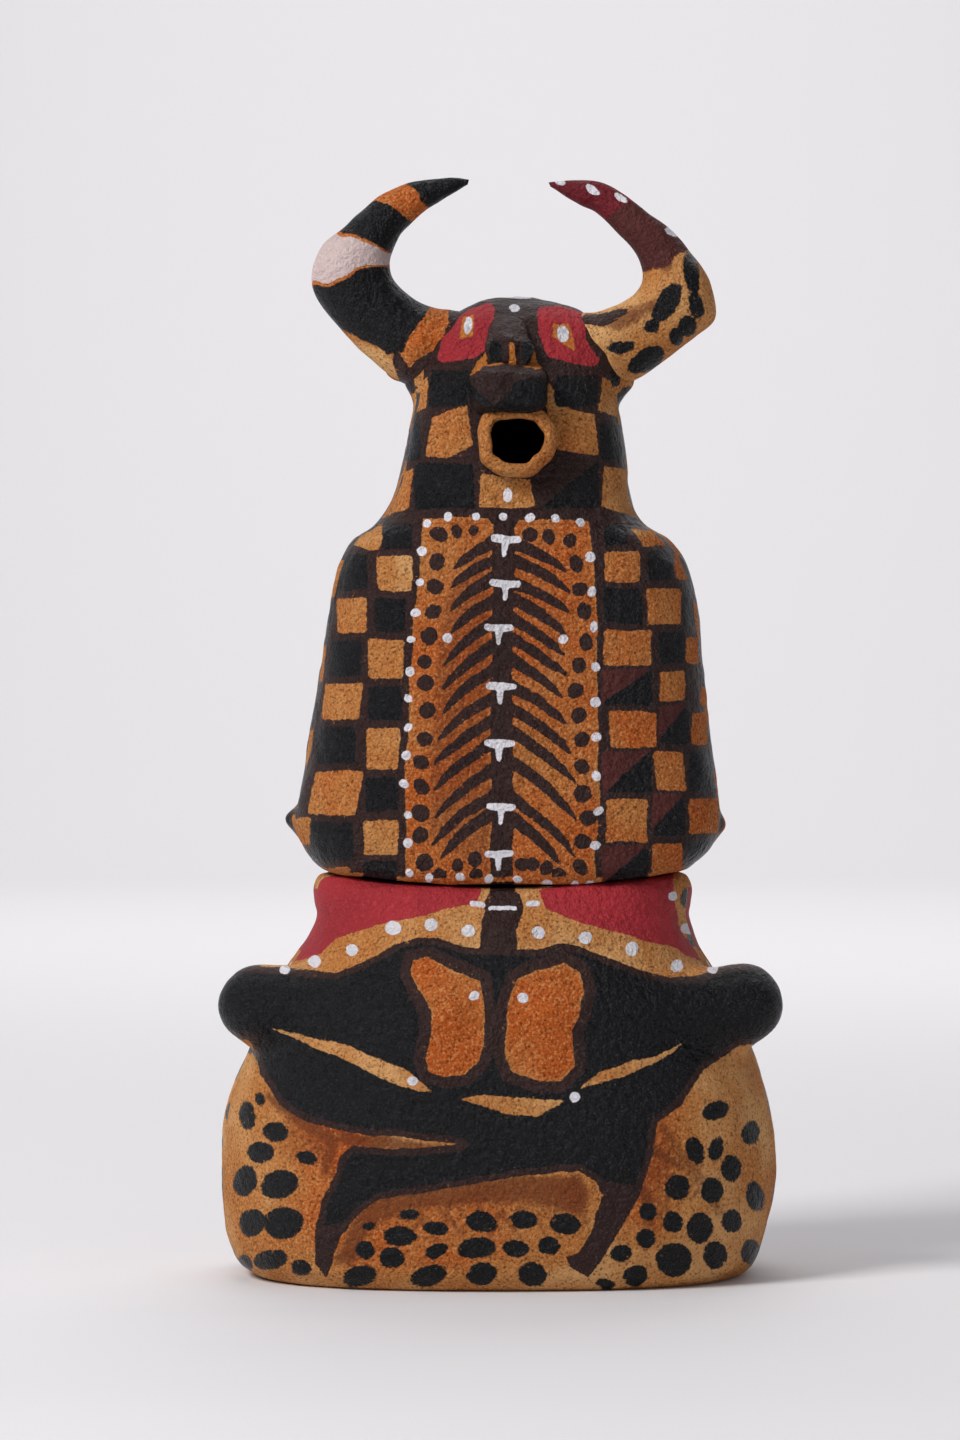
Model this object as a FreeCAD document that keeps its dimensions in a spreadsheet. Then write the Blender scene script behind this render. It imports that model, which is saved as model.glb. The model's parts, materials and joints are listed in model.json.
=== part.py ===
import FreeCAD, Part
import math
import os
import sys

import Sketcher
from FreeCAD import Vector

# A hollow hand-built clay figure: a horned head with an open mouth on a tapering torso, sitting cross-legged.
# Millimetres, +Z up. The figure faces -Y, so its own left is +X. The origin is the middle of the resting
# face. The walls are slabs of clay about as thick as a finger, scored and slipped together face to face.

# ---------------------------------------------------------------------------------------------------------
# Driving dimensions. Each is a cell of the sheet "Sizes", and has its name as the cell's alias.
# ---------------------------------------------------------------------------------------------------------
DRIVING_SIZES = {
    # the lap, a bowl that stands on its floor slab
    "lap_half_width": 90.0,
    "lap_half_depth": 63.0,
    "lap_height": 115.0,
    "floor_thickness": 7.0,
    # the sloping ledge between the lap's rim and the torso, and how far the torso overhangs it
    "ledge_height": 9.0,
    "ledge_recess": 3.0,
    "ledge_bearing": 9.5,
    # the torso and the head, each an open-ended shell
    "torso_half_width": 67.5,
    "torso_half_depth": 43.0,
    "torso_height": 114.0,
    "head_half_width": 40.0,
    "head_half_depth": 30.0,
    "head_height": 74.0,
    "wall": 7.0,
    "head_wall": 6.0,
    # the side seams lie this far in front of the middle, and the head sits off centre and tips back
    "seam_forward": 16.0,
    "side_lean": 5.5,
    "crown_setback": 6.0,
    # the knees stand out of the lap at its corners, and the thighs run in from them to the middle
    "knee_radius": 13.5,
    "knee_stand": 6.0,
    "knee_turn": 34.0,
    "thigh_end_radius": 6.5,
    "thigh_end_out": 20.0,
    "thigh_end_sink": 5.0,
    "elbow_radius": 7.0,
    "elbow_sink": 4.5,
    # the face, measured down from the crown, and out from the head's front
    "mouth_drop": 49.0,
    "mouth_half_width": 8.8,
    "mouth_half_height": 7.6,
    "lip_thickness": 3.3,
    "lip_stand": 4.5,
    "muzzle_drop": 31.0,
    "muzzle_half_width": 13.0,
    "muzzle_half_height": 8.0,
    "muzzle_stand": 12.0,
    "muzzle_length": 22.0,
    "nose_drop": 17.0,
    "nose_inset": 6.0,
    "nose_half_width": 6.5,
    "nose_half_depth": 8.5,
    "nose_half_height": 12.5,
    "nose_tilt": 24.0,
    "nostril_radius": 2.1,
    "nostril_out": 3.6,
    "nostril_drop": 8.0,
    "nostril_forward": 7.5,
    # the horns, crescents about a centre above the crown
    "horn_centre_inset": 6.2,
    "horn_centre_above": 13.0,
    "horn_forward": 3.0,
    "horn_reach": 31.6,
    "horn_girth": 13.3,
    "horn_flatness": 0.86,
    "cuff_radius": 2.8,
    "cuff_angle": 119.0,
}

# Profiles of the three shells, from the bottom up. Each row is one oval section: its height, half width
# and half depth as shares of the shell's own, and how far it shares in the lean to the side.
LAP_PROFILE = {
    # station: (height, width, depth, lean)
    "foot": (0.00, 0.870, 0.840, 0.0),
    "heel": (0.06, 0.935, 0.930, 0.0),
    "swell": (0.20, 0.985, 0.985, 0.0),
    "belly": (0.36, 0.990, 1.000, 0.0),
    "hip": (0.50, 0.955, 0.985, 0.0),
    "thigh": (0.63, 0.895, 0.955, 0.0),
    "knee": (0.75, 0.825, 0.915, 0.0),
    "waist": (0.88, 0.765, 0.850, 0.0),
    "rim": (1.00, 0.715, 0.790, 0.1),
}
TORSO_PROFILE = {
    "hem": (0.00, 0.895, 1.000, 0.3),
    "skirt": (0.09, 0.970, 1.015, 0.4),
    "elbow": (0.17, 1.000, 1.000, 0.4),
    "ribs": (0.50, 0.930, 0.915, 0.6),
    "chest": (0.78, 0.865, 0.840, 0.7),
    "shoulder": (0.90, 0.810, 0.785, 0.7),
    "collar": (0.96, 0.740, 0.745, 0.7),
    "neck": (1.00, 0.630, 0.710, 0.8),
}
HEAD_PROFILE = {
    "nape": (0.00, 1.000, 1.000, 0.8),
    "throat": (0.12, 0.950, 0.975, 0.9),
    "jaw": (0.33, 0.880, 0.955, 1.0),
    "cheek": (0.55, 0.815, 0.885, 1.0),
    "brow": (0.72, 0.745, 0.810, 1.0),
    "temple": (0.85, 0.675, 0.730, 1.1),
    "scalp": (0.945, 0.510, 0.510, 1.1),
    "crown": (1.00, 0.200, 0.220, 1.1),
}
# How much of the crown's setback each of the head's upper sections takes.
HEAD_SETBACK = {"cheek": 0.15, "brow": 0.35, "temple": 0.7, "scalp": 0.9, "crown": 1.0}
ROUNDNESS = 0.84  # the radius of an oval's ends, as a share of its half depth

# Each row of the horn is one section in a plane through the crescent's centre: its angle in degrees from
# the side that faces the other horn, by way of the root, and shares of horn_reach and horn_girth.
HORN_PROFILE = {
    "root": (84.0, 0.99, 0.79),
    "socket": (97.0, 0.99, 0.93),
    "joint": (112.0, 0.97, 0.93),
    "narrow": (131.0, 0.88, 0.76),
    "swell": (152.0, 0.97, 0.86),
    "bend": (168.0, 1.00, 1.00),
    "rise": (184.0, 0.935, 0.90),
    "arch": (204.0, 0.775, 0.77),
    "slope": (228.0, 0.68, 0.62),
    "reach": (252.0, 0.655, 0.36),
    "taper": (275.0, 0.715, 0.17),
    "tip": (285.0, 0.745, 0.08),
}

CLEAR = 20.0  # how far a cutter runs past what it cuts
SIDES = {"left": 1, "right": -1}


# ---------------------------------------------------------------------------------------------------------
# Sums on the sheet's cells
# ---------------------------------------------------------------------------------------------------------
class Term:
    """A sum on cells of the sheet, as its expression and as its number with the driving sizes."""

    def __init__(self, text, number):
        self.text, self.number = text, number

    def __str__(self):
        return self.text

    def __add__(self, other):
        return join(self, "+", other, self.number + number_of(other))

    def __sub__(self, other):
        return join(self, "-", other, self.number - number_of(other))

    def __mul__(self, other):
        return join(self, "*", other, self.number * number_of(other))

    def __truediv__(self, other):
        return join(self, "/", other, self.number / number_of(other))

    def __neg__(self):
        return self * -1

    __radd__, __rmul__ = __add__, __mul__


def number_of(value):
    return value.number if isinstance(value, Term) else value


def join(one, sign, other, number):
    return Term(f"({one} {sign} {other})", number)


def cell(name):
    """The driving size of that name."""
    return Term(f"Sizes.{name}", DRIVING_SIZES[name])


def root_of(value):
    return Term(f"sqrt({value})", math.sqrt(value.number))


def cosine(angle):
    return Term(f"cos({angle})", math.cos(math.radians(number_of(angle))))


def sine(angle):
    return Term(f"sin({angle})", math.sin(math.radians(number_of(angle))))


def about(axis, angle):
    """A rotation by angle about an axis."""
    return f"rotation(vector({axis[0]}; {axis[1]}; {axis[2]}); {angle})"


def place_at(x, y, z, turn=about((0, 0, 1), 0)):
    return f"placement(vector({x}; {y}; {z}); {turn})"


TORSO_BASE = cell("lap_height") + cell("ledge_height")
HEAD_BASE = TORSO_BASE + cell("torso_height")
CROWN = HEAD_BASE + cell("head_height")


def make_sheet(doc):
    """Puts every driving size in a sheet, its name beside it and an alias on its cell."""
    sheet = doc.addObject("Spreadsheet::Sheet", "Sizes")
    for row, (name, value) in enumerate(DRIVING_SIZES.items(), start=1):
        sheet.set(f"A{row}", name)
        sheet.set(f"B{row}", str(value))
        sheet.setAlias(f"B{row}", name)
    doc.recompute()


# ---------------------------------------------------------------------------------------------------------
# Ovals: two round ends and two flatter faces, all tangent, so an oval taken in all round is an oval too.
# An oval is at least as wide as it is deep.
# ---------------------------------------------------------------------------------------------------------
class Oval:
    """An oval's half width, half depth and end radius, and what they give."""

    def __init__(self, half_width, half_depth, end):
        self.half_width, self.half_depth, self.end = half_width, half_depth, end
        self.span = half_width - end
        square = half_width * half_width + half_depth * half_depth - half_width * end * 2
        self.face = square / ((half_depth - end) * 2)

    def inset(self, distance):
        """The same oval, taken in by distance all round."""
        return Oval(self.half_width - distance, self.half_depth - distance, self.end - distance)

    def sketch(self, doc, name, place):
        """A sketch of the oval, with its radii and its place bound to the sheet."""
        sketch = doc.addObject("Sketcher::SketchObject", name)
        span, end, face = self.span.number, self.end.number, self.face.number
        drop = face - self.half_depth.number
        lean, straight = math.atan2(drop, span), math.pi
        arcs = (
            (Vector(span, 0, 0), end, -lean, lean),
            (Vector(0, -drop, 0), face, lean, straight - lean),
            (Vector(-span, 0, 0), end, straight - lean, straight + lean),
            (Vector(0, drop, 0), face, straight + lean, 2 * straight - lean),
        )
        for centre, radius, start, stop in arcs:
            circle = Part.Circle(centre, Vector(0, 0, 1), radius)
            sketch.addGeometry(Part.ArcOfCircle(circle, start, stop), False)
        for arc in range(4):
            sketch.addConstraint(Sketcher.Constraint("Tangent", arc, 2, (arc + 1) % 4, 1))
        for arc, axis in ((0, -1), (1, -2), (2, -1)):
            sketch.addConstraint(Sketcher.Constraint("PointOnObject", arc, 3, axis))
        for arc in (0, 1):
            sketch.addConstraint(Sketcher.Constraint("Equal", arc, arc + 2))
        sized = {
            "end_place": (Sketcher.Constraint("DistanceX", -1, 1, 0, 3, span), self.span),
            "end_radius": (Sketcher.Constraint("Radius", 0, end), self.end),
            "face_radius": (Sketcher.Constraint("Radius", 1, face), self.face),
        }
        for label, (constraint, size) in sized.items():
            number = sketch.addConstraint(constraint)
            sketch.renameConstraint(number, label)
            sketch.setExpression(f"Constraints.{label}", str(size))
        sketch.setExpression("Placement", place)
        return sketch


def section_of(shell, profile, station):
    """The oval of one station of a shell."""
    _, width, depth, _ = profile[station]
    half_depth = cell(f"{shell}_half_depth") * depth
    return Oval(cell(f"{shell}_half_width") * width, half_depth, half_depth * ROUNDNESS)


def lean_of(profile, station):
    return cell("side_lean") * profile[station][3]


def loft(doc, name, sections):
    """A solid through sections, in their order."""
    made = doc.addObject("Part::Loft", name)
    made.Sections = sections
    made.Solid = True
    return made


def shell_loft(doc, name, shell, profile, base, height, inset=None, stations=None):
    """The solid within a shell's outline, or that outline taken in all round by inset."""
    sections = []
    for station in stations or profile:
        oval = section_of(shell, profile, station)
        oval = oval.inset(inset) if inset else oval
        back = cell("crown_setback") * (HEAD_SETBACK.get(station, 0) if shell == "head" else 0)
        place = place_at(lean_of(profile, station), back, base + height * profile[station][0])
        sections.append(oval.sketch(doc, f"{name}_{station}", place))
    return loft(doc, name, sections)


# ---------------------------------------------------------------------------------------------------------
# Primitives and booleans
# ---------------------------------------------------------------------------------------------------------
def primitive(doc, kind, name, place, **sizes):
    """A Part primitive with its sizes and its place bound to the sheet."""
    made = doc.addObject(kind, name)
    for size, value in sizes.items():
        made.setExpression(size, str(value))
    made.setExpression("Placement", place)
    return made


def cut(doc, name, base, *tools):
    """base less every tool."""
    for number, tool in enumerate(tools, start=1):
        made = doc.addObject("Part::Cut", name if number == len(tools) else f"{name}_cut_{number}")
        made.Base, made.Tool = base, tool
        base = made
    return base


def common(doc, name, one, other):
    """What one and other share."""
    made = doc.addObject("Part::Common", name)
    made.Base, made.Tool = one, other
    return made


def split_at_seam(doc, shell, wall, base):
    """Parts a shell's wall into a front and a back slab, at the seams down its sides."""
    wide = cell(f"{shell}_half_width") + CLEAR
    deep = cell(f"{shell}_half_depth") + CLEAR
    place = place_at(-wide, -(deep + cell("seam_forward")), base - CLEAR)
    tall = cell(f"{shell}_height") + 2 * CLEAR
    box = primitive(doc, "Part::Box", f"{shell}_front_box", place, Length=wide * 2, Width=deep, Height=tall)
    common(doc, f"{shell}_front", wall, box)
    cut(doc, f"{shell}_back", wall, box)


def upright_ellipse(doc, name, half_width, half_height, y, z):
    """An ellipse that faces the front, centred on the face."""
    place = place_at(cell("side_lean"), y, z, about((1, 0, 0), 90))
    sizes = {"MajorRadius": half_width, "MinorRadius": half_height}
    return primitive(doc, "Part::Ellipse", name, place, **sizes)


# ---------------------------------------------------------------------------------------------------------
# The lower body
# ---------------------------------------------------------------------------------------------------------
def make_lap(doc):
    """The bowl of the lap in a front and a back slab, with the floor slab let into its foot."""
    height = cell("lap_height")
    outside = shell_loft(doc, "lap_outside", "lap", LAP_PROFILE, Term("0", 0), height)
    hollow = shell_loft(doc, "lap_hollow", "lap", LAP_PROFILE, Term("0", 0), height, cell("wall"))
    split_at_seam(doc, "lap", cut(doc, "lap_wall", outside, hollow), Term("0", 0))
    wide, deep = cell("lap_half_width"), cell("lap_half_depth")
    place = place_at(-wide, -deep, 0)
    sizes = {"Length": wide * 2, "Width": deep * 2, "Height": cell("floor_thickness")}
    floor_box = primitive(doc, "Part::Box", "floor_box", place, **sizes)
    common(doc, "floor_slab", hollow, floor_box)
    return outside


def make_thighs(doc, lap):
    """A tapering roll of clay on each side, from a round knee in to the middle of the lap's front."""
    corner = section_of("lap", LAP_PROFILE, "knee")
    z = cell("lap_height") * LAP_PROFILE["knee"][0]
    reach = corner.end + cell("knee_stand")
    knee_x, knee_y = corner.span + reach * cosine(cell("knee_turn")), -(reach * sine(cell("knee_turn")))
    end_x, end_y = cell("thigh_end_out"), -(corner.half_depth - cell("thigh_end_sink"))
    run, rise = knee_x - end_x, knee_y - end_y
    length = root_of(run * run + rise * rise)
    for side, sign in SIDES.items():
        inwards = about((rise, run * -sign, 0), 90)
        place = place_at(knee_x * sign, knee_y, z, inwards)
        knee = primitive(doc, "Part::Sphere", f"knee_{side}", place, Radius=cell("knee_radius"))
        sizes = {"Radius1": cell("knee_radius"), "Radius2": cell("thigh_end_radius"), "Height": length}
        roll = primitive(doc, "Part::Cone", f"roll_{side}", place, **sizes)
        place = place_at(end_x * sign, end_y, z, inwards)
        end = primitive(doc, "Part::Sphere", f"thigh_end_{side}", place, Radius=cell("thigh_end_radius"))
        whole = doc.addObject("Part::MultiFuse", f"thigh_roll_{side}")
        whole.Shapes = [knee, roll, end]
        cut(doc, f"thigh_{side}", whole, lap)


def make_ledge(doc):
    """A ring that slopes in from the lap's rim to under the torso, open in the middle."""
    rim = section_of("lap", LAP_PROFILE, "rim")
    hem = section_of("torso", TORSO_PROFILE, "hem")
    top = hem.inset(cell("ledge_recess"))
    opening = top.inset(cell("ledge_bearing"))
    hem_lean = lean_of(TORSO_PROFILE, "hem")
    low, high = cell("lap_height"), TORSO_BASE
    slope = [
        rim.sketch(doc, "ledge_foot", place_at(lean_of(LAP_PROFILE, "rim"), 0, low)),
        top.sketch(doc, "ledge_top", place_at(hem_lean, 0, high)),
    ]
    hole = [
        opening.sketch(doc, "ledge_hole_low", place_at(hem_lean, 0, low - CLEAR)),
        opening.sketch(doc, "ledge_hole_high", place_at(hem_lean, 0, high + CLEAR)),
    ]
    cut(doc, "waist_ledge", loft(doc, "ledge_slope", slope), loft(doc, "ledge_hole", hole))


# ---------------------------------------------------------------------------------------------------------
# The torso
# ---------------------------------------------------------------------------------------------------------
def make_torso(doc):
    """A tapering shell with square shoulders, in a front and a back slab."""
    height = cell("torso_height")
    outside = shell_loft(doc, "torso_outside", "torso", TORSO_PROFILE, TORSO_BASE, height)
    hollow = shell_loft(doc, "torso_hollow", "torso", TORSO_PROFILE, TORSO_BASE, height, cell("wall"))
    split_at_seam(doc, "torso", cut(doc, "torso_wall", outside, hollow), TORSO_BASE)
    return outside


def make_elbows(doc, torso):
    """A round nub of clay on each lower corner of the torso."""
    corner = section_of("torso", TORSO_PROFILE, "elbow")
    z = TORSO_BASE + cell("torso_height") * TORSO_PROFILE["elbow"][0]
    for side, sign in SIDES.items():
        x = lean_of(TORSO_PROFILE, "elbow") + (corner.half_width - cell("elbow_sink")) * sign
        place = place_at(x, 0, z)
        nub = primitive(doc, "Part::Sphere", f"elbow_nub_{side}", place, Radius=cell("elbow_radius"))
        cut(doc, f"elbow_{side}", nub, torso)


# ---------------------------------------------------------------------------------------------------------
# The head
# ---------------------------------------------------------------------------------------------------------
def front_of_head(station):
    """How far the head's front lies before the middle at one station."""
    back = cell("crown_setback") * HEAD_SETBACK.get(station, 0)
    return section_of("head", HEAD_PROFILE, station).half_depth - back


def on_crescent(sign, angle, reach):
    """Place of a horn's section, its width along the crescent's radius and its depth front to back."""
    out = section_of("head", HEAD_PROFILE, "brow").half_width - cell("horn_centre_inset")
    x = cell("side_lean") + out * sign - reach * cosine(angle) * sign
    z = CROWN + cell("horn_centre_above") - reach * sine(angle)
    return place_at(x, -cell("horn_forward"), z, about((0, 1, 0), angle * -sign))


def make_horn(doc, side, sign):
    """One crescent horn, thick at its bend and flattened front to back."""
    sections = []
    for station, (angle, reach, girth) in HORN_PROFILE.items():
        half_width = cell("horn_girth") * girth
        half_depth = half_width * cell("horn_flatness")
        oval = Oval(half_width, half_depth, half_depth * ROUNDNESS)
        place = on_crescent(sign, angle, cell("horn_reach") * reach)
        sections.append(oval.sketch(doc, f"horn_{station}_{side}", place))
    return loft(doc, f"horn_{side}", sections)


def make_cuff(doc, head, horn):
    """A coil of clay pressed round the right horn where it leaves the head."""
    _, reach, girth = HORN_PROFILE["narrow"]
    place = on_crescent(SIDES["right"], cell("cuff_angle"), cell("horn_reach") * reach)
    sizes = {"Radius1": cell("horn_girth") * girth, "Radius2": cell("cuff_radius")}
    ring = primitive(doc, "Part::Torus", "cuff_ring", place, **sizes)
    cut(doc, "horn_cuff", ring, horn, head)


def make_lip(doc):
    """The lip coil's outside, drawn in at its front, and the mouth hole that runs through it."""
    z = CROWN - cell("mouth_drop")
    front = front_of_head("jaw") + cell("lip_stand")
    thick = cell("lip_thickness")
    wide, tall = cell("mouth_half_width"), cell("mouth_half_height")
    steps = {
        "inside": (Term("0", 0), thick),
        "wall": (front - thick * 2, thick),
        "round": (front - thick * 0.5, thick * 0.8),
        "front": (front, thick * 0.4),
    }
    outside = [
        upright_ellipse(doc, f"lip_{step}", wide + more, tall + more, -y, z)
        for step, (y, more) in steps.items()
    ]
    hole = [
        upright_ellipse(doc, "mouth_inside", wide, tall, CLEAR, z),
        upright_ellipse(doc, "mouth_outside", wide, tall, -(front + CLEAR), z),
    ]
    return loft(doc, "lip_outside", outside), loft(doc, "mouth_hole", hole)


def make_muzzle(doc, head, lip):
    """A blunt wedge that overhangs the mouth."""
    z = CROWN - cell("muzzle_drop")
    front = front_of_head("cheek") + cell("muzzle_stand")
    length = cell("muzzle_length")
    steps = {
        # station: (how far back from the tip, width and height, drop), all as shares
        "root": (1.0, 1.00, 0.0),
        "cheek": (0.55, 1.00, 0.0),
        "ridge": (0.18, 0.76, 0.1),
        "tip": (0.0, 0.38, 0.15),
    }
    wide, tall = cell("muzzle_half_width"), cell("muzzle_half_height")
    sections = []
    for step, (back, share, drop) in steps.items():
        y = -(front - length * back)
        section = upright_ellipse(doc, f"muzzle_{step}", wide * share, tall * share, y, z - tall * drop)
        sections.append(section)
    solid = loft(doc, "muzzle_solid", sections)
    cut(doc, "muzzle", solid, head, lip)
    return solid


def make_nose(doc, head, muzzle):
    """A ridge down the forehead to the muzzle, with two nostril pits in its lower end."""
    y = -(front_of_head("brow") - cell("nose_inset"))
    z = CROWN - cell("nose_drop")
    place = place_at(cell("side_lean"), y, z, about((1, 0, 0), -cell("nose_tilt")))
    sizes = {
        "Radius1": cell("nose_half_height"),
        "Radius2": cell("nose_half_width"),
        "Radius3": cell("nose_half_depth"),
    }
    ridge = primitive(doc, "Part::Ellipsoid", "nose_solid", place, **sizes)
    pits = []
    for side, sign in SIDES.items():
        x = cell("side_lean") + cell("nostril_out") * sign
        place = place_at(x, y - cell("nostril_forward"), z - cell("nostril_drop"))
        pits.append(primitive(doc, "Part::Sphere", f"nostril_{side}", place, Radius=cell("nostril_radius")))
    cut(doc, "nose_ridge", ridge, head, muzzle, *pits)


def make_head(doc):
    """A domed hollow head, its horns and lip plugged through the wall, with its muzzle and nose."""
    height, wall = cell("head_height"), cell("head_wall")
    outside = shell_loft(doc, "head_outside", "head", HEAD_PROFILE, HEAD_BASE, height)
    below_crown = [station for station in HEAD_PROFILE if station != "crown"]
    hollow = shell_loft(
        doc, "head_hollow", "head", HEAD_PROFILE, HEAD_BASE, height - wall, wall, below_crown
    )
    horns = {side: make_horn(doc, side, sign) for side, sign in SIDES.items()}
    make_cuff(doc, outside, horns["right"])
    lip, mouth = make_lip(doc)
    cut(doc, "head_shell", outside, hollow, lip, *horns.values())
    cut(doc, "mouth_ring", lip, mouth, hollow)
    muzzle = make_muzzle(doc, outside, lip)
    make_nose(doc, outside, muzzle)


# ---------------------------------------------------------------------------------------------------------
# The sub-parts that are written out
# ---------------------------------------------------------------------------------------------------------
NODES = (
    "floor_slab",
    "lap_front",
    "lap_back",
    "thigh_left",
    "thigh_right",
    "waist_ledge",
    "torso_front",
    "torso_back",
    "elbow_left",
    "elbow_right",
    "head_shell",
    "mouth_ring",
    "muzzle",
    "nose_ridge",
    "horn_left",
    "horn_right",
    "horn_cuff",
)


def check_document(doc):
    """Stops if an object failed, or if a sub-part isn't one valid closed solid."""
    failed = [made.Name for made in doc.Objects if {"Invalid", "Error"} & set(made.State)]
    if failed:
        sys.exit(f"these objects failed: {failed}")
    for name in NODES:
        shape = doc.getObject(name).Shape
        if shape.isNull() or not shape.isValid() or len(shape.Solids) != 1:
            sys.exit(f"{name} isn't one valid solid: {len(shape.Solids)} solids")


def main():
    doc = FreeCAD.newDocument("horned_figure")
    make_sheet(doc)
    lap = make_lap(doc)
    make_thighs(doc, lap)
    make_ledge(doc)
    torso = make_torso(doc)
    make_elbows(doc, torso)
    make_head(doc)
    doc.recompute()
    check_document(doc)
    os.makedirs("parts", exist_ok=True)
    for name in NODES:
        sub_part = doc.getObject(name)
        sub_part.Label = name
        sub_part.Shape.exportStep(f"parts/{name}.step")
        print(f"{name}: {sub_part.Shape.Volume / 1000:.1f} cm3")


main()
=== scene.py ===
"""Looks of a horned, seated figure of painted earthenware, built by hand from slabs and coils of clay.

Shapes are worked out in millimetres in the figure's own frame, and become metres when a mesh is made.
The paint is a set of signed distances kept on each vertex, one for each paint, which the material
turns into brushed edges.
"""
from __future__ import annotations

import json
import logging
import math
from dataclasses import dataclass, field
from enum import Enum
from typing import Callable, Iterable, Iterator, Sequence

import bpy
import numpy as np
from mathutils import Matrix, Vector

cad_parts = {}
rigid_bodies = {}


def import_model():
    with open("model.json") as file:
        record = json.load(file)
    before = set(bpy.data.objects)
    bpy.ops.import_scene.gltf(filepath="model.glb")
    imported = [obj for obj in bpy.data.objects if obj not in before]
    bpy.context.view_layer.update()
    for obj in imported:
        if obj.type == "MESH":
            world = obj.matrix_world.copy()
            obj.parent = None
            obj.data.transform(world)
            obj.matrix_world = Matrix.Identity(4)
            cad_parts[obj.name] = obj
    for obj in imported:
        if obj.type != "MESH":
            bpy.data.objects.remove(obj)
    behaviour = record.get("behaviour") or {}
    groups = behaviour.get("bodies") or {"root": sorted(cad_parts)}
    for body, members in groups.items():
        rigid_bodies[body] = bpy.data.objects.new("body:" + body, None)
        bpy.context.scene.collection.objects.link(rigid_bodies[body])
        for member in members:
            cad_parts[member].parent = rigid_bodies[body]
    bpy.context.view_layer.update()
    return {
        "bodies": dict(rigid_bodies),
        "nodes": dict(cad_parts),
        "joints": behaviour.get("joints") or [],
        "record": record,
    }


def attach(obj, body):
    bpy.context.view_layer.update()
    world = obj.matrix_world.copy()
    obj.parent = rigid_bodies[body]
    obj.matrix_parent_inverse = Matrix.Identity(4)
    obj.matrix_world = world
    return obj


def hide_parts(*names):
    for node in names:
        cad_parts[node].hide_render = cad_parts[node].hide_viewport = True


LOG = logging.getLogger("horned_figure")
Array = np.ndarray
Point = tuple[float, float]
Place = tuple[float, float, float]
Socket = bpy.types.NodeSocket

MM = 0.001
TINY = 1e-9
FULL_TURN = 2 * math.pi
FAR = 12.0  # a distance that is outside every paint, in mm
VIEW_DISTANCE = 1500.0  # how far in front of the figure the pattern is seen flat, in mm
EYE_LEVEL = 176.0  # the height that it is seen from
INNER_STEP = 8  # the inside of a wall has one row for this many rows of the outside


# ==== Sums that the shapes and the paint share ====
def blend_in(low: float, high: float, value: Array) -> Array:
    """Smooth step: 0 below low, 1 above high, with level ends.

    Args:
        low: where the step starts.
        high: where it is complete.
        value: the numbers to step.

    Returns:
        The share, from 0 to 1, for each number.
    """
    share = np.clip((value - low) / (high - low), 0.0, 1.0)
    return share * share * (3.0 - 2.0 * share)


def soft_min(one: Array, other: Array, fillet: float) -> Array:
    """Smaller of two distances, with a fillet of the given size where they are alike."""
    share = np.clip(0.5 + 0.5 * (other - one) / fillet, 0.0, 1.0)
    return other + (one - other) * share - fillet * share * (1.0 - share)


def smooth_curve(stations: Array, along: Array, at: Array) -> Array:
    """Cubic through stations: each piece is a Hermite cubic with three-point slopes.

    Args:
        stations: one row of values for each station.
        along: the stations' places along the curve, rising.
        at: the places that are wanted.

    Returns:
        One row of values for each wanted place.
    """
    step = np.diff(along)[:, None]
    rate = np.diff(stations, axis=0) / step
    slope = np.empty_like(stations)
    slope[1:-1] = (rate[:-1] * step[1:] + rate[1:] * step[:-1]) / (step[1:] + step[:-1])
    slope[0], slope[-1] = rate[0], rate[-1]
    left = np.clip(np.searchsorted(along, at, side="right") - 1, 0, len(along) - 2)
    width = step[left]
    share = ((at - along[left])[:, None]) / width
    square, cube = share**2, share**3
    return (
        stations[left] * (2 * cube - 3 * square + 1)
        + slope[left] * width * (cube - 2 * square + share)
        + stations[left + 1] * (3 * square - 2 * cube)
        + slope[left + 1] * width * (cube - square)
    )


class Waver:
    """A smooth random field in space, the same on each run: lattice noise with eased corners."""

    TABLE_SIZE = 8192
    MIXERS = np.array([73856093, 19349663, 83492791])  # primes that spread the cells over the table

    def __init__(self, seed: int) -> None:
        """Fills the lattice's table from a seed."""
        self.table = np.random.default_rng(seed).uniform(-1.0, 1.0, self.TABLE_SIZE)

    def __call__(self, points: Array, size: float) -> Array:
        """Reads the field.

        Args:
            points: places in mm, one row each.
            size: the lattice's pitch in mm.

        Returns:
            A number from -1 to 1 for each place.
        """
        scaled = points / size
        cell = np.floor(scaled).astype(np.int64)
        share = scaled - cell
        share = share * share * (3.0 - 2.0 * share)
        total = np.zeros(len(points))
        for corner in range(8):
            step = np.array([corner & 1, (corner >> 1) & 1, corner >> 2])
            weight = np.prod(np.where(step == 1, share, 1.0 - share), axis=1)
            key = (cell + step) @ self.MIXERS
            total += weight * self.table[(key ^ (key >> 13)) % self.TABLE_SIZE]
        return total


# ==== Flat outlines of brush marks, as signed distances in mm (negative inside) ====
Mark = Callable[[Array], Array]


def dab(at: Point, wide: float, tall: float, turn: float = 0.0) -> Mark:
    """A touch of the brush: an ellipse of the given full width and height, turned by degrees.

    Args:
        at: its middle.
        wide: its full width.
        tall: its full height.
        turn: its turn in degrees.

    Returns:
        The mark.
    """
    cos, sin = math.cos(math.radians(turn)), math.sin(math.radians(turn))

    def distance(flat: Array) -> Array:
        """Scaled radius less one, times the smaller half axis.

        Args:
            flat: places on the flat view.

        Returns:
            The signed distance of each, in mm.
        """
        across, up = flat[:, 0] - at[0], flat[:, 1] - at[1]
        along, aside = across * cos + up * sin, up * cos - across * sin
        return (np.hypot(along * 2 / wide, aside * 2 / tall) - 1.0) * min(wide, tall) / 2

    return distance


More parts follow.
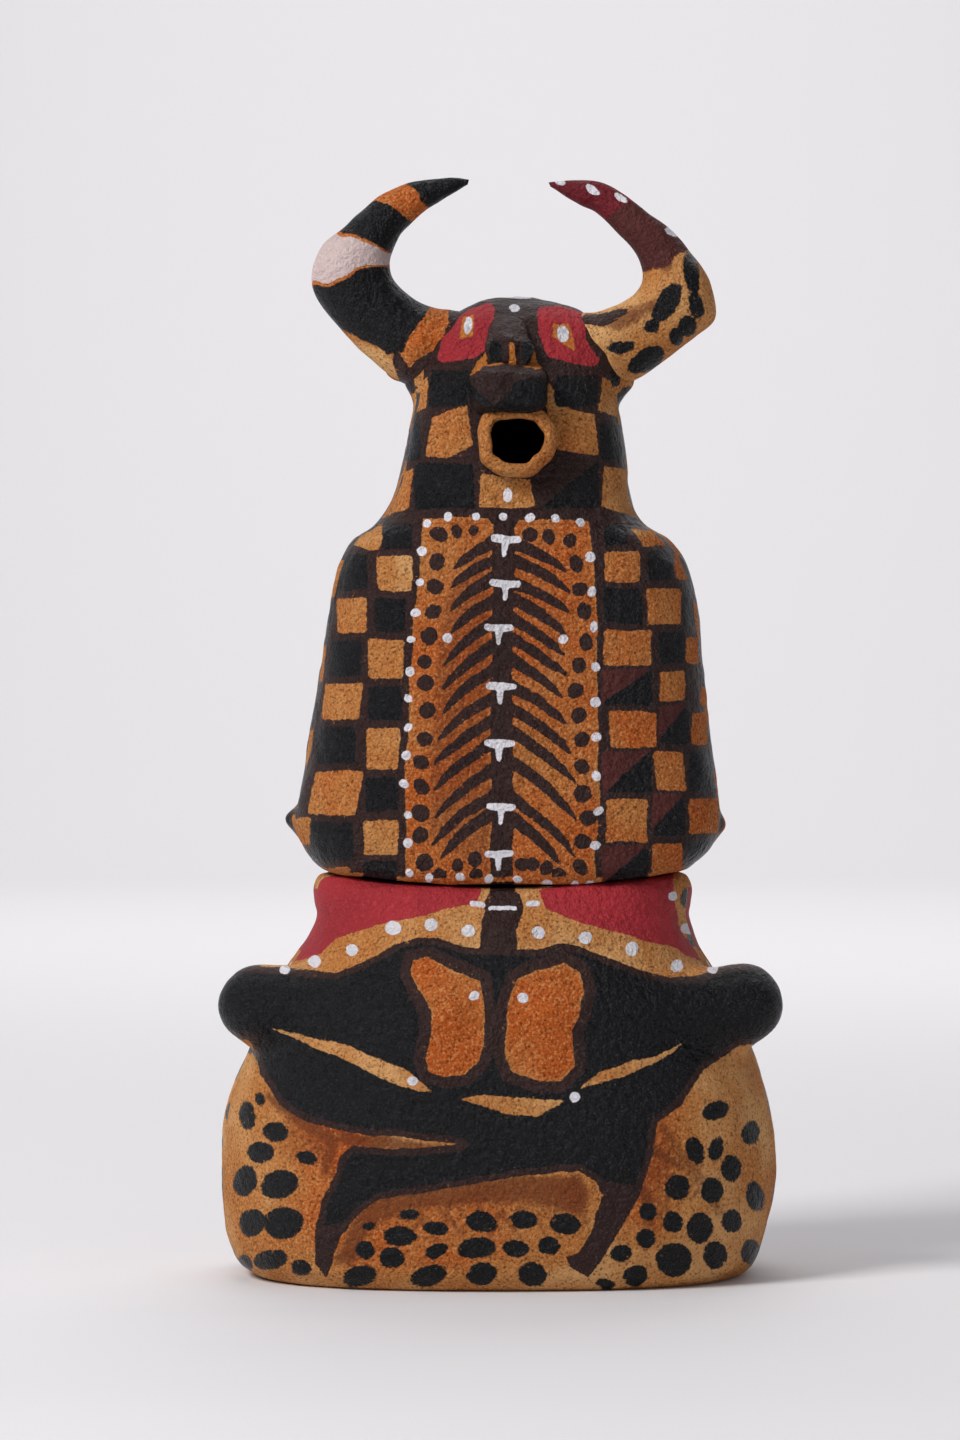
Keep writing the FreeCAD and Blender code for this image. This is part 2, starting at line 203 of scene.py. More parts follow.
def to_edge(flat: Array, start: Array, end: Array) -> tuple[Array, Array]:
    """The nearest place on an edge: the share of the way along, kept to its ends, and the gap to it.

    Args:
        flat: places on the flat view.
        start: the edge's start.
        end: its end.

    Returns:
        The shares and the gaps.
    """
    edge, reach = end - start, flat - start
    share = np.clip((reach @ edge) / (edge @ edge), 0.0, 1.0)
    return share, np.hypot(*(reach - share[:, None] * edge).T)


def patch(*corners: Point, blunt: float = 0.0) -> Mark:
    """A filled outline through corners, each blunted by a radius in mm as a brush leaves it.

    Args:
        *corners: the outline, in order.
        blunt: the corners' radius.

    Returns:
        The mark.
    """
    loop = np.array(corners, dtype=float)
    inward = loop.mean(axis=0) - loop
    loop = loop + inward * np.minimum(1.3 * blunt / np.hypot(*inward.T), 0.5)[:, None]

    def distance(flat: Array) -> Array:
        """Nearest edge, with the sign of the crossing count.

        Args:
            flat: places on the flat view.

        Returns:
            The signed distance of each, in mm.
        """
        nearest = np.full(len(flat), np.inf)
        inside = np.zeros(len(flat), dtype=bool)
        for start, end in zip(loop, np.roll(loop, -1, axis=0)):
            nearest = np.minimum(nearest, to_edge(flat, start, end)[1])
            crosses = (start[1] > flat[:, 1]) != (end[1] > flat[:, 1])
            run, rise = end - start
            rise = rise if abs(rise) > TINY else TINY
            inside ^= crosses & (flat[:, 0] < start[0] + run * (flat[:, 1] - start[1]) / rise)
        return np.where(inside, -nearest, nearest) - blunt

    return distance


def stroke(*marks: Place) -> Mark:
    """A brush stroke through points (across, up, thickness), round at its ends.

    Args:
        *marks: its points and its thickness at each.

    Returns:
        The mark.
    """
    path = np.array(marks, dtype=float)

    def distance(flat: Array) -> Array:
        """Distance to the path less half the thickness there.

        Args:
            flat: places on the flat view.

        Returns:
            The signed distance of each, in mm.
        """
        nearest = np.full(len(flat), np.inf)
        for start, end in zip(path[:-1], path[1:]):
            share, gap = to_edge(flat, start[:2], end[:2])
            thick = start[2] + (end[2] - start[2]) * share
            nearest = np.minimum(nearest, gap - thick / 2)
        return nearest

    return distance


def block(left: float, right: float, low: float, high: float, skew: float = 0.0) -> Mark:
    """A hand-painted square: four corners, its top shifted sideways by skew."""
    return patch((left, low), (right, low), (right + skew, high), (left + skew, high), blunt=0.9)


# ==== Paint ====
class Coat(Enum):
    """Each paint, by the name of the vertex attribute that holds its distance."""

    RUST = "rust"
    BROWN = "brown"
    BLACK = "black"
    MAROON = "maroon"
    WINE = "wine"
    RED = "red"
    CREAM = "cream"
    OCHRE = "ochre"
    WHITE = "white"


@dataclass(frozen=True)
class Pigment:
    """How one paint looks: colour in sRGB, roughness, and how broken its brushed edge is in mm."""

    red: int
    green: int
    blue: int
    rough: float
    ragged: float
    soft: float = 0.12
    cover: float = 1.0

    def linear(self) -> tuple[float, float, float, float]:
        """The colour for a shader, in linear light."""
        parts = (value / 255 for value in (self.red, self.green, self.blue))
        return (*(p / 12.92 if p <= 0.04045 else ((p + 0.055) / 1.055) ** 2.4 for p in parts), 1.0)


PIGMENTS: dict[Coat, Pigment] = {
    Coat.RUST: Pigment(104, 46, 20, 0.78, 1.3, 1.3, 0.74),
    Coat.BROWN: Pigment(49, 28, 24, 0.32, 0.45),
    Coat.BLACK: Pigment(7, 8, 11, 0.28, 0.55, 0.25),
    Coat.WINE: Pigment(112, 24, 34, 0.52, 0.5, 0.9),
    Coat.MAROON: Pigment(84, 38, 34, 0.58, 0.5, 0.3),
    Coat.RED: Pigment(176, 46, 54, 0.55, 0.4),
    Coat.CREAM: Pigment(214, 192, 188, 0.70, 0.5),
    Coat.OCHRE: Pigment(206, 124, 52, 0.80, 0.5),
    Coat.WHITE: Pigment(236, 232, 238, 0.62, 0.25),
}
SLIP = Pigment(186, 119, 60, 0.84, 0.0)  # the ochre slip under the paint
SLIP_DEEP = Pigment(182, 86, 26, 0.80, 0.0)
SLIP_PALE = Pigment(218, 166, 108, 0.88, 0.0)
GROG = Pigment(84, 42, 20, 0.90, 0.0)
WARMTH = "warmth"  # the vertex attribute for how deep the slip is, from 0 for pale to 1 for orange


@dataclass
class Canvas:
    """The surface of one piece as its painter sees it, and the paint that is on it so far.

    Attributes:
        points: the piece's vertices in mm, those of its outer skin first.
        skin: how many vertices the outer skin has.
        coats: each paint's signed distance at each vertex, in mm.
        waver: the field that makes brush marks uneven.
    """

    points: Array
    skin: int
    coats: dict[Coat, Array] = field(default_factory=dict)
    waver: Waver = field(default_factory=lambda: Waver(11))

    def __post_init__(self) -> None:
        """Works out the flat view from the front and the way round, and starts with no paint."""
        x, y, z = self.points.T
        scale = VIEW_DISTANCE / (VIEW_DISTANCE + y)
        wobble = np.stack([self.waver(self.points + shift, 9.0) for shift in (0.0, 50.0)], axis=1)
        fine = np.stack([self.waver(self.points + shift, 2.6) for shift in (90.0, 140.0)], axis=1)
        sway = 0.55 * wobble + 0.22 * fine
        self.front = np.stack([x * scale, EYE_LEVEL + (z - EYE_LEVEL) * scale], axis=1) + sway
        self.depth = y
        middle_x, half_wide, half_deep, power = 3.0, 66.0, 45.0, 2.6  # a typical section of the body
        turn = np.arctan2(x - middle_x, -y)
        table = np.linspace(-math.pi, math.pi, 721)
        sides = np.abs(np.sin(table) / half_wide) ** power + np.abs(np.cos(table) / half_deep) ** power
        reach = sides ** (-1 / power)
        outline = np.stack([reach * np.sin(table), reach * np.cos(table)], axis=1)
        lengths = along_of(outline)
        round_way = np.interp(turn, table, lengths) - lengths[len(table) // 2]
        self.around = np.stack([round_way, z], axis=1) + sway
        self.warmth = np.full(len(self.points), 0.4)
        for coat in Coat:
            self.coats[coat] = np.full(len(self.points), FAR)

    def reaches(self, marks: Iterable[Mark], on: Array | None, where: Array | None) -> Iterator[Array]:
        """Gives each mark's distances, and FAR where the marks may not reach.

        Args:
            marks: outlines on the flat view.
            on: the flat places to read, if they aren't the front's.
            where: a mask of the points that the marks may reach.

        Returns:
            The distances of one mark after another.
        """
        for mark in marks:
            distance = mark(self.front if on is None else on)
            yield distance if where is None else np.where(where, distance, FAR)

    def lay(
        self, coat: Coat, marks: Iterable[Mark], on: Array | None = None, where: Array | None = None
    ) -> None:
        """Adds brush marks of one paint; the rest is as in reaches."""
        for distance in self.reaches(marks, on, where):
            self.coats[coat] = np.minimum(self.coats[coat], distance)

    def lift(
        self, coat: Coat, marks: Iterable[Mark], on: Array | None = None, where: Array | None = None
    ) -> None:
        """Leaves marks free of one paint: takes their outlines out of it."""
        for distance in self.reaches(marks, on, where):
            self.coats[coat] = np.maximum(self.coats[coat], -distance)

    def warm(self, amount: float, marks: Iterable[Mark], soft: float = 3.0) -> None:
        """Sets the slip's warmth inside marks on the front, fading over a few mm.

        Args:
            amount: the warmth, from 0 to 1.
            marks: outlines on the front.
            soft: how far their edges fade.
        """
        for mark in marks:
            share = blend_in(soft, -soft, mark(self.front))
            self.warmth += (amount - self.warmth) * share

    def flood(self, coat: Coat, where: Array | bool = True) -> None:
        """Covers every point of a mask, or all of them."""
        self.coats[coat] = np.where(where, -FAR, self.coats[coat])

    def store(self, mesh: bpy.types.Mesh) -> None:
        """Writes each paint's distances to the mesh, in mm; a wall's inside is flooded black as painted
        shade.

        Args:
            mesh: the piece's mesh.
        """
        # painted shade: every vertex on the inside of a wall gets black paint, for the dark of the hollow
        self.flood(Coat.BLACK, np.arange(len(self.points)) >= self.skin)
        for coat, distance in self.coats.items():
            layer = mesh.attributes.new(coat.value, "FLOAT", "POINT")
            layer.data.foreach_set("value", np.clip(distance, -FAR, FAR).astype(np.float32))
        layer = mesh.attributes.new(WARMTH, "FLOAT", "POINT")
        layer.data.foreach_set("value", self.warmth.astype(np.float32))


# ==== The material: gritty clay under slip and paint ====
class Bench:
    """Adds shader nodes to a material and wires them up."""

    def __init__(self, name: str) -> None:
        """Starts an empty material with a surface shader.

        Args:
            name: the material's name.
        """
        self.material = bpy.data.materials.new(name)
        self.material.use_nodes = True
        self.tree = self.material.node_tree
        self.tree.nodes.clear()
        self.surface = self.tree.nodes.new("ShaderNodeBsdfPrincipled")
        output = self.tree.nodes.new("ShaderNodeOutputMaterial")
        self.tree.links.new(self.surface.outputs["BSDF"], output.inputs["Surface"])

    def feed(self, socket: Socket, value: object) -> None:
        """Sets a socket to a number or colour, or links an output to it.

        Args:
            socket: an input of a node.
            value: a number, a colour or another node's output.
        """
        if isinstance(value, Socket):
            self.tree.links.new(value, socket)
        else:
            socket.default_value = value

    def add(
        self, kind: str, inputs: dict[object, object] | None = None, **settings: object
    ) -> bpy.types.Node:
        """Adds one node.

        Args:
            kind: the node's type, without ShaderNode.
            inputs: values or outputs for its input sockets, by name or number.
            **settings: the node's own settings.

        Returns:
            The node.
        """
        node = self.tree.nodes.new("ShaderNode" + kind)
        for name, value in settings.items():
            setattr(node, name, value)
        for key, value in (inputs or {}).items():
            self.feed(node.inputs[key], value)
        return node

    def sum(self, kind: str, one: object, other: object = 0.0, third: object = 0.0) -> Socket:
        """A Math node's result."""
        return self.add("Math", {0: one, 1: other, 2: third}, operation=kind).outputs[0]

    def step(self, value: object, low: float, high: float, start: float = 0.0, end: float = 1.0) -> object:
        """A smooth step of value from start to end."""
        inputs = {"Value": value, "From Min": low, "From Max": high, "To Min": start, "To Max": end}
        return self.add("MapRange", inputs, interpolation_type="SMOOTHSTEP").outputs["Result"]

    def mix(self, share: object, one: object, other: object) -> Socket:
        """A mix of two colours.

        Args:
            share: how much of the second.
            one: the first colour.
            other: the second.

        Returns:
            The mixed colour.
        """
        node = self.add("Mix", data_type="RGBA")
        self.feed(node.inputs["Factor"], share)
        self.feed(node.inputs[6], one)
        self.feed(node.inputs[7], other)
        return node.outputs[2]

    def noise(self, where: object, size: float, detail: float = 2.0, rough: float = 0.5) -> object:
        """Fractal noise whose features are about size mm across."""
        inputs = {"Vector": where, "Scale": 1.0 / (size * MM), "Detail": detail, "Roughness": rough}
        return self.add("TexNoise", inputs).outputs["Fac"]


@dataclass(frozen=True)
class PaintedClay:
    """Earthenware with grog, brushed with slip and paint.

    Attributes:
        slot: the material's name.
        shade: how much darker the slip is, as a share.
        grit: how deep the grog stands, in mm.
        lumps: how deep the hand's unevenness is, in mm.
        painted: whether the mesh carries the paints' distances and the slip's warmth.
    """

    CLOUDS = 24.0  # the sizes of its patterns in mm: clouds in the slip,
    RAGS = 1.3  # the ragged edges of brush marks,
    GRAIN = 0.85  # sand,
    SPECKS = 1.25  # grog,
    PRINTS = 2.3  # and the hand's unevenness
    CLOSED = (0.05, 0.02, 0.008, 1.0)  # the brown that a shaded slip goes towards

    slot: str
    shade: float = 0.0
    grit: float = 0.22
    lumps: float = 2.2
    painted: bool = True

    def make(self) -> bpy.types.Material:
        """Builds the material.

        Returns:
            The material, which reads the paints' distances from the mesh.
        """
        bench = Bench(self.slot)
        where = bench.add("TexCoord").outputs["Object"]
        cloud = bench.noise(where, self.CLOUDS, 3.0)
        ragged = bench.noise(where, self.RAGS, 3.0, 0.62)
        grain = bench.noise(where, self.GRAIN, 3.0, 0.62)
        cells = {"Vector": where, "Scale": 1.0 / (self.SPECKS * MM)}
        speck = bench.add("TexVoronoi", cells).outputs["Distance"]
        colour = self.slip(bench, cloud, grain, speck)
        rough: object = bench.step(grain, 0.35, 0.7, 0.72, 0.92)
        thick: object = 0.0
        for coat in Coat if self.painted else ():
            pigment = PIGMENTS[coat]
            cover = self.cover(bench, coat, pigment, ragged)
            colour = bench.mix(cover, colour, self.tone(bench, pigment, cloud, grain))
            sheen = bench.step(grain, 0.3, 0.7, pigment.rough - 0.07, pigment.rough + 0.1)
            rough = bench.add("Mix", {0: cover, 2: rough, 3: sheen}, data_type="FLOAT").outputs[0]
            body = 0.5 if coat is Coat.RUST else 1.0
            thick = bench.sum("MAXIMUM", thick, bench.sum("MULTIPLY", cover, body))
        bench.feed(bench.surface.inputs["Base Color"], colour)
        bench.feed(bench.surface.inputs["Roughness"], rough)
        bench.surface.inputs["Specular IOR Level"].default_value = 0.2
        bench.feed(bench.surface.inputs["Normal"], self.relief(bench, where, grain, speck, thick))
        return bench.material

    def slip(self, bench: Bench, cloud: object, grain: object, speck: object) -> object:
        """Ochre slip: deep and pale in clouds, with dark grog showing through in specks.

        Args:
            bench: the nodes.
            cloud: the clouds' noise.
            grain: the sand's noise.
            speck: the distance to the nearest grog.

        Returns:
            The slip's colour.
        """
        warmth: object = 0.5
        if self.painted:
            warmth = bench.add("Attribute", attribute_name=WARMTH, attribute_type="GEOMETRY").outputs["Fac"]
        warmth = bench.sum("MULTIPLY_ADD", bench.sum("SUBTRACT", 0.5, cloud), 1.3, warmth)
        tone = bench.mix(bench.step(warmth, 0.0, 0.45), SLIP_PALE.linear(), SLIP.linear())
        tone = bench.mix(bench.step(warmth, 0.4, 1.0), tone, SLIP_DEEP.linear())
        pits = bench.sum("MULTIPLY", bench.step(grain, 0.50, 0.66), bench.step(speck, 0.25, 0.62))
        tone = bench.mix(bench.sum("MULTIPLY", pits, 0.78), tone, GROG.linear())
        lights = bench.sum("MULTIPLY", bench.step(grain, 0.48, 0.35), 0.47)
        tone = bench.mix(lights, tone, SLIP_PALE.linear())
        return bench.mix(self.shade, tone, self.CLOSED)

    def cover(self, bench: Bench, coat: Coat, pigment: Pigment, ragged: object) -> object:
        """How much of one paint covers a place: its distance, broken up by the grain at the edge.

        Args:
            bench: the nodes.
            coat: the paint.
            pigment: how it looks.
            ragged: the noise that breaks its edge.

        Returns:
            The share that it covers.
        """
        distance = bench.add("Attribute", attribute_name=coat.value, attribute_type="GEOMETRY").outputs["Fac"]
        broken = bench.sum("MULTIPLY_ADD", bench.sum("SUBTRACT", ragged, 0.5), pigment.ragged * 3.0, distance)
        cover = bench.step(broken, pigment.soft, -pigment.soft, 0.0, pigment.cover)
        near_edge = bench.step(distance, -2.4, -0.2, 0.0, 0.75)
        dry = bench.sum("MULTIPLY", bench.step(ragged, 0.63, 0.73), near_edge)
        return bench.sum("MULTIPLY", cover, bench.sum("SUBTRACT", 1.0, dry))

    def tone(self, bench: Bench, pigment: Pigment, cloud: object, grain: object) -> object:
        """A paint's colour, darker where the clouds are low, with a lighter copy of it on high grain as
        painted glints.

        Args:
            bench: the nodes.
            pigment: how the paint looks.
            cloud: the clouds' noise.
            grain: the sand's noise.

        Returns:
            The paint's colour.
        """
        red, green, blue, _ = pigment.linear()
        # painted highlight: on high grain the paint turns to a lighter, bluer copy of itself, as glints of
        # light
        more = 1.08 + 0.42 * (1.0 - max(red, green, blue)) ** 4
        light = (red * more + 0.014, green * more + 0.014, blue * more + 0.018, 1.0)
        deep = (red * 0.72, green * 0.72, blue * 0.72, 1.0)
        tone = bench.mix(bench.step(cloud, 0.3, 0.7), deep, pigment.linear())
        return bench.mix(bench.step(grain, 0.53, 0.68, 0.0, 0.9), tone, light)

    def relief(self, bench: Bench, where: object, grain: object, speck: object, thick: object) -> object:
        """Grog, pits, soft finger marks and the thickness of the paint, as a bump.

        Args:
            bench: the nodes.
            where: the place on the piece.
            grain: the sand's noise.
            speck: the distance to the nearest grog.
            thick: how thick the paint lies.

        Returns:
            The bumped normal.
        """
        prints = bench.sum("MULTIPLY", bench.noise(where, self.PRINTS, 2.0), self.lumps)
        height = bench.sum("MULTIPLY_ADD", grain, self.grit * 5.0, prints)
        height = bench.sum("MULTIPLY_ADD", bench.step(speck, 0.0, 0.45), -self.grit * 0.7, height)
        height = bench.sum("MULTIPLY_ADD", thick, 0.10, height)
        inputs = {"Strength": 1.0, "Distance": MM, "Height": height}
        return bench.add("Bump", inputs).outputs["Normal"]


# ==== Surfaces ====
def grid_faces(rows: int, columns: int, wrap: bool) -> Array:
    """Quads of a grid whose rows run up and columns run towards +X on the front.

    Args:
        rows: the number of rows of vertices.
        columns: the number of columns of vertices.
        wrap: whether the last column joins the first.

    Returns:
        One row of four vertex numbers for each quad, turned to face outwards.
    """
    index = np.arange(rows * columns).reshape(rows, columns)
    right = np.roll(index, -1, axis=1) if wrap else index[:, 1:]
    left = index if wrap else index[:, :-1]
    return np.stack([left[:-1], right[:-1], right[1:], left[1:]], axis=-1).reshape(-1, 4)


def turns(count: int) -> Array:
    """Angles evenly spaced round a full turn."""
    return np.linspace(0.0, FULL_TURN, count, endpoint=False)


def powered(value: Array, power: float) -> Array:
    """A power of each number's size, with its sign kept."""
    return np.sign(value) * np.abs(value) ** power


def along_of(path: Array) -> Array:
    """How far along a path each of its points is."""
    return np.concatenate([[0.0], np.cumsum(np.hypot(*np.diff(path, axis=0).T))])


def normals_of(grid: Array, wrap: bool) -> Array:
    """Outward unit normals of a grid: the cross product of its two directions.

    Args:
        grid: rows by columns by 3.
        wrap: whether the columns run right round.

    Returns:
        A unit normal for each vertex.
    """
    if wrap:
        across = np.roll(grid, -1, axis=1) - np.roll(grid, 1, axis=1)
    else:
        across = np.gradient(grid, axis=1)
    normal = np.cross(across, np.gradient(grid, axis=0))
    return normal / np.maximum(np.linalg.norm(normal, axis=-1, keepdims=True), TINY)


def turned_out(grid: Array) -> Array:
    """A grid of rings, its columns reversed if its normals point in towards the rings' middles."""
    outward = (normals_of(grid, True) * (grid - grid.mean(axis=1, keepdims=True))).sum()
    return grid if outward > 0 else grid[:, ::-1]


@dataclass
class Solid:
    """A closed mesh.

    Attributes:
        points: its vertices in mm, those of the outer skin first.
        faces: its faces, the smooth ones first.
        smooth: how many faces are smooth.
        skin: how many vertices the outer skin has.
    """

    points: Array
    faces: list[list[int]]
    smooth: int
    skin: int

    @classmethod
    def wall(cls, outer: Array, inner: Array, wrap: bool, pole: bool) -> Solid:
        """A slab between two grids with the same columns, closed along every edge.

        The inner grid has every nth row of the outer one. Where the slab has side edges, each inner
        quad's side is closed by one face with the outer rows that it spans.

        Args:
            outer: the outer grid, rows by columns by 3.
            inner: the inner grid, with fewer rows.
            wrap: whether the columns run right round.
            pole: whether the last row closes to a point instead of a rim.

        Returns:
            The closed mesh, outer skin first.
        """
        rows, columns = outer.shape[:2]
        coarse = inner.shape[0]
        step = (rows - 1) // (coarse - 1)
        base = rows * columns
        faces = grid_faces(rows, columns, wrap).tolist()
        faces += (grid_faces(coarse, columns, wrap)[:, ::-1] + base).tolist()
        out = np.arange(base).reshape(rows, columns)
        inn = base + np.arange(coarse * columns).reshape(coarse, columns)
        points = [outer.reshape(-1, 3), inner.reshape(-1, 3)]
        foot, lid = (np.stack([row, np.roll(row, -1)]) for row in (out[0], out[-1]))
        foot_in, lid_in = (np.stack([row, np.roll(row, -1)]) for row in (inn[0], inn[-1]))
        kept = slice(None) if wrap else slice(0, -1)
        if pole:
            points.append(np.stack([outer[-1].mean(axis=0), inner[-1].mean(axis=0)]))
            top = base + coarse * columns
            faces += np.stack([lid[0], lid[1], np.full(columns, top)], axis=-1).tolist()
            faces += np.stack([lid_in[1], lid_in[0], np.full(columns, top + 1)], axis=-1).tolist()
        smooth = len(faces)
        faces += np.stack([foot_in[0], foot_in[1], foot[1], foot[0]], axis=-1)[kept].tolist()
        if not pole:
            faces += np.stack([lid[0], lid[1], lid_in[1], lid_in[0]], axis=-1)[kept].tolist()
        if not wrap:
            for side, turn in ((0, 1), (-1, -1)):
                for row in range(coarse - 1):
                    edge = out[row * step : (row + 1) * step + 1, side].tolist()
                    face = [*edge, int(inn[row + 1, side]), int(inn[row, side])]
                    faces.append(face if turn > 0 else face[::-1])
        return cls(np.concatenate(points), faces, smooth, base)

    @classmethod
    def tube(cls, grid: Array) -> Solid:
        """A closed form from rings, with a point at each end.

        Args:
            grid: rings by columns by 3.

        Returns:
            The closed mesh.
        """
        grid = turned_out(grid)
        rings, columns = grid.shape[:2]
        faces = grid_faces(rings, columns, True).tolist()
        base = rings * columns
        ends = np.stack([grid[0].mean(axis=0), grid[-1].mean(axis=0)])
        first, last = np.arange(columns), np.arange(base - columns, base)
        faces += np.stack([np.roll(first, -1), first, np.full(columns, base)], axis=-1).tolist()
        faces += np.stack([last, np.roll(last, -1), np.full(columns, base + 1)], axis=-1).tolist()
        return cls(np.concatenate([grid.reshape(-1, 3), ends]), faces, len(faces), base + 2)

    @classmethod
    def ring(cls, grid: Array) -> Solid:
        """A closed ring: a grid that wraps both ways.

        Args:
            grid: rings by columns by 3.

        Returns:
            The closed mesh.
        """
        grid = turned_out(grid)
        rings, columns = grid.shape[:2]
        index = np.arange(rings * columns).reshape(rings, columns)
        up = np.roll(index, -1, axis=0)
        quads = np.stack([index, np.roll(index, -1, axis=1), np.roll(up, -1, axis=1), up], axis=-1)
        return cls(grid.reshape(-1, 3), quads.reshape(-1, 4).tolist(), rings * columns, rings * columns)

    def to_object(self, name: str) -> bpy.types.Object:
        """Makes the mesh object, in metres, with smooth faces that point outwards.

        Args:
            name: the object's name.

        Returns:
            The object, at the origin.
        """
        mesh = bpy.data.meshes.new(name)
        mesh.from_pydata((self.points * MM).tolist(), [], self.faces)
        mesh.polygons.foreach_set("use_smooth", np.arange(len(self.faces)) < self.smooth)
        mesh.update()
        made = bpy.data.objects.new(name, mesh)
        bpy.context.scene.collection.objects.link(made)
        return made


def cut_opening(made: bpy.types.Object, cutter: bpy.types.Object) -> None:
    """Cuts one closed mesh out of another, and removes the cutter.

    Args:
        made: the piece.
        cutter: the shape to take out of it.
    """
    modifier = made.modifiers.new("opening", "BOOLEAN")
    modifier.operation, modifier.solver, modifier.object = "DIFFERENCE", "EXACT", cutter
    with bpy.context.temp_override(object=made, active_object=made):
        bpy.ops.object.modifier_apply(modifier=modifier.name)
    bpy.data.objects.remove(cutter)


@dataclass(frozen=True)
class Bump:
    """A lump of clay that swells a wall: a tapering capsule, joined with a fillet.

    Attributes:
        start: one end, in mm.
        end: the other end.
        start_radius: its radius at the start.
        end_radius: its radius at the end.
        fillet: how softly it joins the wall.
    """

    start: Place
    end: Place
    start_radius: float
    end_radius: float
    fillet: float

    def distance(self, points: Array) -> Array:
        """Distance to the capsule: to its axis, less the radius there.

        Args:
            points: places in mm.

        Returns:
            The distance of each.
        """
        start, edge = np.array(self.start), np.subtract(self.end, self.start)
        reach = points - start
        share = np.clip((reach @ edge) / max(float(edge @ edge), TINY), 0.0, 1.0)
        radius = self.start_radius + (self.end_radius - self.start_radius) * share
        return np.linalg.norm(reach - share[:, None] * edge, axis=1) - radius


SETTLING_STEPS = 36
SMOOTHINGS = 6


def swell(grid: Array, bumps: Sequence[Bump], wrap: bool, reach: float) -> Array:
    """Pushes a wall out along its normals until it meets the bumps laid on it.

    From reach mm out, each point steps back by the soft minimum of its height over the wall and its
    distances to the bumps, until it comes to rest on them.

    Args:
        grid: the wall.
        bumps: the lumps.
        wrap: whether the columns run right round.
        reach: the furthest that a lump stands out.

    Returns:
        The swollen grid.
    """
    flat, normal = grid.reshape(-1, 3), normals_of(grid, wrap).reshape(-1, 3)
    height = np.zeros(len(flat))
    for bump in bumps:
        near = bump.distance(flat) < reach
        place, up = flat[near], normal[near]
        lift = np.full(len(place), reach)
        for _ in range(SETTLING_STEPS):
            gap = soft_min(lift - height[near], bump.distance(place + up * lift[:, None]), bump.fillet)
            lift = np.maximum(lift - 0.75 * gap, 0.0)
        height[near] = np.maximum(height[near], lift)
    field_of_heights = height.reshape(grid.shape[:2])
    for _ in range(SMOOTHINGS):
        rows = np.pad(field_of_heights, ((1, 1), (0, 0)), mode="edge")
        field_of_heights = (rows[:-2] + 2 * rows[1:-1] + rows[2:]) / 4
        beside = np.roll(field_of_heights, 1, axis=1) + np.roll(field_of_heights, -1, axis=1)
        smoothed = (beside + 2 * field_of_heights) / 4
        if not wrap:
            smoothed[:, [0, -1]] = field_of_heights[:, [0, -1]]
        field_of_heights = smoothed
    return grid + normals_of(grid, wrap) * field_of_heights[..., None]


